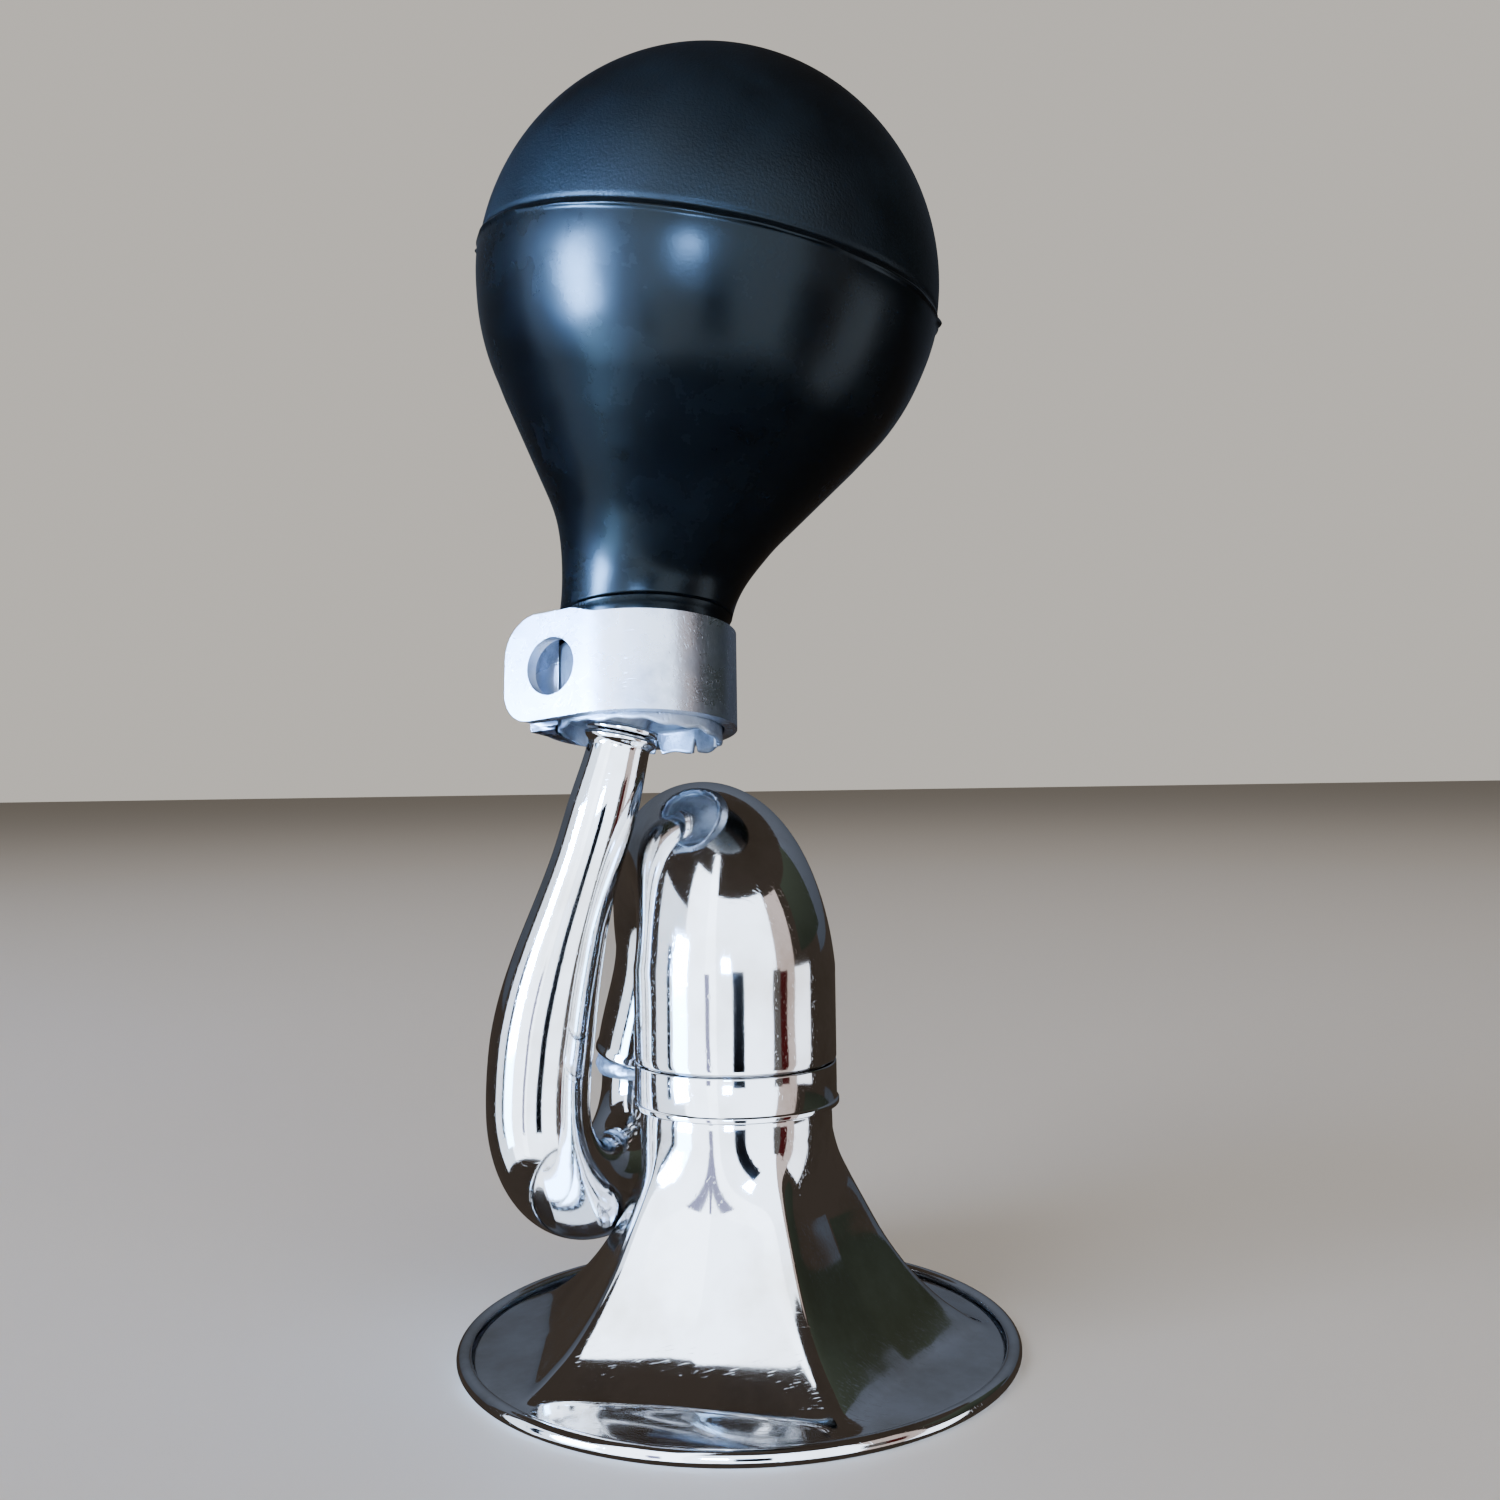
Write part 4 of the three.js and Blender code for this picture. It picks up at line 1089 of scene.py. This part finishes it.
@dataclass
class SqueezeBulb:
    """The hollow rubber bulb, moulded in two halves with a raised seam."""

    finish: bpy.types.Material
    neck: NeckFrame
    centre: Vector = Vector((-2.5, 4.9, 162.3))
    radius: float = 35.9
    wall: float = 2.6
    neck_radius: float = 13.6
    bore: float = 8.2
    cone: float = 34.8
    fillet: float = 28.0
    in_cup: float = 11.8
    in_strap: float = 12.95
    step: float = 0.8
    seam_proud: float = 0.42
    seam_lean: float = 10.3
    keep: float = 0.81
    steps: int = 192

    def profile(self, reach: float, join: float, neck_top: float) -> Profile:
        """The straightened bulb's section, inside and out.

        Args:
            reach: distance along the axis to the ball's centre.
            join: where the ball ends and the cone starts.
            neck_top: where the rubber swells out over the clamp.

        Returns:
            (radius, distance along the axis) pairs, from the inside's crown round to the outside's.
        """
        lean = math.radians(self.cone)
        join_radius = self.radius * math.cos(lean)
        cone_foot = join - (join_radius - self.neck_radius) / math.tan(lean)
        fillet_foot = cone_foot - self.fillet * math.tan(lean / 2)
        floor = self.neck.cup_floor + 1.0
        inside = [
            (self.bore, floor),
            (self.bore, neck_top),
            (self.neck_radius - 3.4, neck_top + 9),
            *arc((0, reach), self.radius - self.wall, -self.cone, 90, 40),
        ]
        cone_top = (join_radius, join)
        fillet = arc((self.neck_radius + self.fillet, fillet_foot), self.fillet, 180, 180 - self.cone, 24)
        cone_line = [
            (fillet[-1][0] + (cone_top[0] - fillet[-1][0]) * i / 6, fillet[-1][1] + (cone_top[1] - fillet[-1][1]) * i / 6)
            for i in range(1, 6)
        ]
        ball = []
        turns = [-self.cone + (self.cone - 4) * i / 30 for i in range(31)]
        turns += [-3.6 + 0.18 * i for i in range(41)]
        turns += [4 + 86 * i / 56 for i in range(57)]
        for turn in turns:
            ball.append(self.ball_point(turn, reach))
        outside = [
            (self.in_cup, floor),
            (self.in_cup, self.neck.cup_top),
            (self.in_strap - 0.1, self.neck.cup_top + 0.5),
            (self.in_strap, self.neck.cup_top + 1.1),
            *[(self.in_strap, self.neck.cup_top + 1.5 + 0.4 * i) for i in range(5)],
            (self.in_strap + 0.02, neck_top - 0.6),
            (self.in_strap + 0.1, neck_top - 0.2),
            (self.in_strap + 0.25, neck_top + 0.2),
            (self.neck_radius - 0.15, neck_top + 0.6),
            (self.neck_radius - 0.04, neck_top + 1.1),
            (self.neck_radius, neck_top + 1.7),
            *fillet,
            *cone_line,
            *ball,
        ]
        return [*reversed(inside), *outside]

    def ball_point(self, turn: float, reach: float) -> tuple[float, float]:
        """A point of the ball's outside, with the moulding seam at its middle.

        Args:
            turn: degrees above the seam.
            reach: distance along the axis to the ball's centre.

        Returns:
            Radius and distance along the axis.
        """
        millimetres = math.radians(turn) * self.radius
        radius = self.radius - 0.12
        radius += 0.24 * (1 - ease(millimetres, -0.35, 0.1)) * ease(millimetres, -9, -0.4)
        radius += self.seam_proud * math.exp(-((millimetres / 0.42) ** 2))
        radius -= 0.2 * math.exp(-(((millimetres - 1.0) / 0.4) ** 2))
        if turn >= 90:
            return 0.0, reach + radius
        angle = math.radians(turn)
        return radius * math.cos(angle), reach + radius * math.sin(angle)

    def build(self) -> bpy.types.Object:
        """Spins the section, lays it on its bent axis and dresses it."""
        to_neck = self.neck.matrix.inverted()
        centre = to_neck @ self.centre
        base = Vector((0, 0, self.neck.cup_top + self.neck.seat))
        axis = (centre - base).normalized()
        reach = base.z + (centre - base).length
        join = reach - self.radius * math.sin(math.radians(self.cone))
        neck_top = self.neck.strap_height + self.neck.ear_rise + self.neck.seat
        right = math.tan(math.radians(self.seam_lean))
        seam_axis = (to_neck.to_3x3() @ Vector((right, 0, 1))).normalized()
        profile = self.profile(reach, join, neck_top)
        heights = sorted({round(height, 4) for _, height in profile})
        index = {height: i for i, height in enumerate(heights)}
        up = Vector((0, 0, 1))
        stations = []
        for height in heights:
            if height <= base.z:
                point, tangent = Vector((0, 0, height)), up
            elif height < join:
                point = base + axis * (height - base.z)
                swing = ease(height, neck_top + self.step, neck_top + self.step + self.neck_radius)
                tangent = up.lerp(axis, swing).normalized()
            else:
                tangent = axis.lerp(seam_axis, ease(height, join, reach)).normalized()
                point = centre + tangent * (height - reach)
            stations.append(Station(point, tangent))
        mesh = spun([(radius, float(index[round(height, 4)])) for radius, height in profile], self.steps, closed=False)
        matte = mesh.verts.layers.float.new("matte")
        for vert in mesh.verts:
            height = heights[round(vert.co.z)]
            vert[matte] = ease(height, reach + 0.2, reach + 1.4)
            outer = math.hypot(vert.co.x, vert.co.y) > self.radius - 0.5
            if outer and abs(height - reach) < 2.5:
                angle = math.atan2(vert.co.y, vert.co.x)
                flash = 0.1 * math.sin(9 * angle) + 0.08 * math.sin(23 * angle + 1)
                scale = 1 + flash * math.exp(-(((height - reach) / 0.5) ** 2)) / self.radius
                vert.co.x *= scale
                vert.co.y *= scale
        lay_on(mesh, stations)
        bmesh.ops.transform(mesh, matrix=self.neck.matrix, verts=mesh.verts)
        self.raise_nubs(mesh, self.neck.matrix.to_3x3() @ seam_axis)
        bmesh.ops.recalc_face_normals(mesh, faces=mesh.faces)
        piece = as_object(mesh, "rubber_bulb_skin")
        place_piece(piece, Body.HORN, Slot.RUBBER, self.finish, "rubber_bulb")
        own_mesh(piece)
        return piece

    def raise_nubs(self, mesh: bmesh.types.BMesh, seam_axis: Vector) -> None:
        """Leaves two small tabs of flash on the seam, left and right.

        Args:
            mesh: the bulb in the horn's frame.
            seam_axis: the direction square to the seam's ring.
        """
        for vert in mesh.verts:
            out = vert.co - self.centre
            if out.length < self.radius - 0.6:
                continue
            above = out.dot(seam_axis)
            if abs(above) > 2.5:
                continue
            azimuth = math.degrees(math.atan2(out.x, -out.y))
            for mark, width in ((-88.0, 1.7), (84.0, 1.4)):
                off = (azimuth - mark) / width
                if abs(off) < 3:
                    lift = 0.75 * math.exp(-(off**2)) * math.exp(-((above / 0.9) ** 2))
                    vert.co += out.normalized() * lift


# ---------------------------------------------------------------- studio


def aim(azimuth: float, elevation: float, distance: float) -> Vector:
    """A place round the horn.

    Args:
        azimuth: degrees from the front, + to the right.
        elevation: degrees above the middle of the bell's collar.
        distance: metres.

    Returns:
        The place in the horn's frame.
    """
    turn, rise = math.radians(azimuth), math.radians(elevation)
    level = distance * math.cos(rise)
    return Vector((level * math.sin(turn), -level * math.cos(turn), 0.045 + distance * math.sin(rise)))


@dataclass
class SoftLight:
    """A soft light panel that lights the scene but stays out of polished surfaces."""

    name: str
    azimuth: float
    elevation: float
    distance: float
    size: float
    power: float
    colour: str

    def build(self) -> bpy.types.Object:
        """Hangs the panel, facing the horn."""
        light = bpy.data.lights.new(self.name, "AREA")
        light.shape, light.size, light.energy = "SQUARE", self.size, self.power
        light.color = linear(self.colour)[:3]
        obj = bpy.data.objects.new(self.name, light)
        obj.location = aim(self.azimuth, self.elevation, self.distance)
        obj.rotation_euler = (-obj.location).to_track_quat("-Z", "Y").to_euler()
        obj.visible_glossy = False
        bpy.context.scene.collection.objects.link(obj)
        return obj


@dataclass
class Card:
    """A curved reflector card that only polished surfaces see.

    It covers a window of directions, in degrees, at a distance from the bell's axis.
    """

    name: str
    azimuth: tuple[float, float]
    elevation: tuple[float, float]
    distance: float
    radiance: float
    colour: str
    fade: float = 0.0  # how much of the radiance is lost towards its lower edge

    def material(self) -> bpy.types.Material:
        """The card's glow."""
        material = bpy.data.materials.new(f"{self.name}_paper")
        material.use_nodes = True
        material.node_tree.nodes.remove(material.node_tree.nodes["Principled BSDF"])
        output = material.node_tree.nodes["Material Output"]
        height = add_node(material, "ShaderNodeAttribute", attribute_name="height").outputs["Fac"]
        glow = ramp(material, height, 0.0, 1.0, self.radiance * (1 - self.fade), self.radiance)
        shader = add_node(material, "ShaderNodeEmission", {"Color": linear(self.colour), "Strength": glow})
        material.node_tree.links.new(shader.outputs["Emission"], output.inputs["Surface"])
        return material

    def build(self) -> bpy.types.Object:
        """Bends the card round the horn."""
        mesh = bmesh.new()
        bmesh.ops.create_grid(mesh, x_segments=12, y_segments=8, size=0.5)
        height = mesh.verts.layers.float.new("height")
        for vert in mesh.verts:
            across, up = vert.co.x + 0.5, vert.co.y + 0.5
            vert[height] = up
            turn = self.azimuth[0] + (self.azimuth[1] - self.azimuth[0]) * across
            rise = self.elevation[0] + (self.elevation[1] - self.elevation[0]) * up
            vert.co = aim(turn, rise, self.distance) / MM
        obj = as_object(mesh, self.name)
        obj.data.materials.append(self.material())
        obj.visible_camera = obj.visible_diffuse = obj.visible_shadow = obj.visible_transmission = False
        return obj


@dataclass
class Studio:
    """Pale floor, window-like soft light and the camera."""

    eye: Vector = Vector((0.0029, -0.2390, 0.0893))
    pitch: float = 0.31
    roll: float = -0.85
    lens: float = 37.53
    floor_size: float = 8.0

    def floor(self) -> bpy.types.Object:
        """Lays the plain pale floor."""
        mesh = bmesh.new()
        bmesh.ops.create_grid(mesh, x_segments=1, y_segments=1, size=self.floor_size / 2 / MM)
        obj = as_object(mesh, "studio_floor")
        material = bpy.data.materials.new("matt_paper_floor")
        material.use_nodes = True
        shader = material.node_tree.nodes["Principled BSDF"]
        shader.inputs["Base Color"].default_value = linear("#d3ccc1")
        shader.inputs["Roughness"].default_value = 0.55
        obj.data.materials.append(material)
        obj.visible_glossy = False
        return obj

    def world(self) -> None:
        """A pale backdrop that polished metal sees as a dim, warm room."""
        world = bpy.data.worlds.new("room")
        bpy.context.scene.world = world
        world.use_nodes = True
        path = add_node(world, "ShaderNodeLightPath")
        room = add_node(
            world,
            "ShaderNodeMix",
            {0: path.outputs["Is Glossy Ray"], 6: linear("#8f8b86"), 7: linear("#463e37")},
            data_type="RGBA",
        )
        seen = add_node(
            world,
            "ShaderNodeMix",
            {0: path.outputs["Is Camera Ray"], 6: room.outputs[2], 7: linear("#d9d3ca")},
            data_type="RGBA",
        )
        background = world.node_tree.nodes["Background"]
        world.node_tree.links.new(seen.outputs[2], background.inputs["Color"])
        background.inputs["Strength"].default_value = 0.9

    def camera(self) -> None:
        """Stands the camera in front, a little below the bulb."""
        data = bpy.data.cameras.new("front_camera")
        data.lens, data.sensor_width, data.clip_start = self.lens, 36.0, 0.01
        obj = bpy.data.objects.new("front_camera", data)
        pitch, roll = math.radians(self.pitch), math.radians(self.roll)
        forward = Vector((0, math.cos(pitch), math.sin(pitch)))
        level = Vector((1, 0, 0))
        upright = level.cross(forward)
        right = level * math.cos(roll) + upright * math.sin(roll)
        up = upright * math.cos(roll) - level * math.sin(roll)
        obj.matrix_world = Matrix.Translation(self.eye) @ Matrix((right, up, -forward)).transposed().to_4x4()
        bpy.context.scene.collection.objects.link(obj)
        bpy.context.scene.camera = obj

    def build(self) -> None:
        """Sets up camera, floor, world and lights."""
        self.camera()
        self.floor()
        self.world()
        lights = [
            SoftLight("key_panel", -55, 38, 1.5, 0.9, 17, "#dfe9ff"),
            SoftLight("fill_panel", 40, 30, 1.6, 1.1, 7, "#eaf0ff"),
            SoftLight("ceiling_panel", 160, 75, 1.6, 1.6, 9, "#fff3e4"),
        ]
        for light in lights:
            light.build()
        cards = [
            Card("left_wall", (-98, -60), (-40, 30), 1.3, 3.0, "#dcebff"),
            Card("left_window", (-60, -32), (-40, 56), 1.3, 7.0, "#dcebff"),
            Card("tall_window", (-32, -20), (-40, 72), 1.3, 8.0, "#dcebff"),
            Card("front_wall", (-20, 48), (-40, 45), 1.3, 6.0, "#dcebff"),
            Card("right_curtain", (48, 72), (-40, 42), 1.28, 1.4, "#d9c9c4"),
            Card("low_right_wall", (72, 94), (-40, 2), 1.28, 4.0, "#e6efff"),
            Card("side_window", (-70, -54), (-7, 16), 0.9, 560.0, "#8fbcff"),
            Card("window_below_bulb", (-72, -54), (-30, 9), 0.95, 30.0, "#9fd0ff"),
            Card("small_window", (-13, -4), (3, 11), 0.9, 330.0, "#8fbcff"),
            Card("curtain_edge", (-80, -75), (-23, 12), 0.4, 0.05, "#3b3a46"),
            Card("chair_back", (-32, -27), (-23, 2), 0.4, 2.0, "#8d8fb5"),
            Card("dark_figure", (-2, 11), (-23, 5), 0.4, 0.06, "#3c3230"),
            Card("grey_door", (43, 52), (-23, 4), 0.4, 0.6, "#8f8a86"),
            Card("red_door", (52, 61), (-23, 2), 0.4, 0.3, "#8e3838"),
            Card("back_wall", (118, 252), (2, 38), 1.2, 0.38, "#a9b4c8", 0.5),
            Card("olive_shelf", (84, 128), (8, 40), 1.1, 0.3, "#7f8a78", 0.5),
        ]
        for card in cards:
            card.build()
        LOG.info("%d lights and %d cards", len(lights), len(cards))


# ---------------------------------------------------------------- assembly


def dress_solid(name: str, material: bpy.types.Material) -> None:
    """Gives a solid that stays in view its material.

    Args:
        name: the solid's node.
        material: its material.
    """
    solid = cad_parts[name]
    solid.data.materials.clear()
    solid.data.materials.append(material)
    LOG.info("%s keeps its solid, in %s", name, material.name)


def main() -> None:
    """Builds the studio and every piece."""
    logging.basicConfig(level=logging.INFO, format="%(name)s: %(message)s")
    Studio().build()
    chrome = CHROME_PLATE.build()
    air_way, neck = AirWay(), NeckFrame()
    FlaredBell(chrome).build()
    CollarRing(chrome).build()
    UpperBend(chrome, air_way).build()
    LeadTube(chrome, air_way).build()
    ReedSocket(chrome, air_way).build()
    SolderBead(SOFT_SOLDER.build(), air_way).build()
    NeckCup(DULL_TIN.build(), neck).build()
    StrapClamp(SATIN_ZINC.build(), neck).build()
    SqueezeBulb(RubberFinish().build(), neck).build()
    brass = REED_BRASS.build()
    for name in ("reed_shallot", "reed_tongue", "reed_clip"):
        dress_solid(name, brass)
    dress_solid("rim_wire", DRAWN_WIRE.build())


if __name__ == "__main__":
    main()
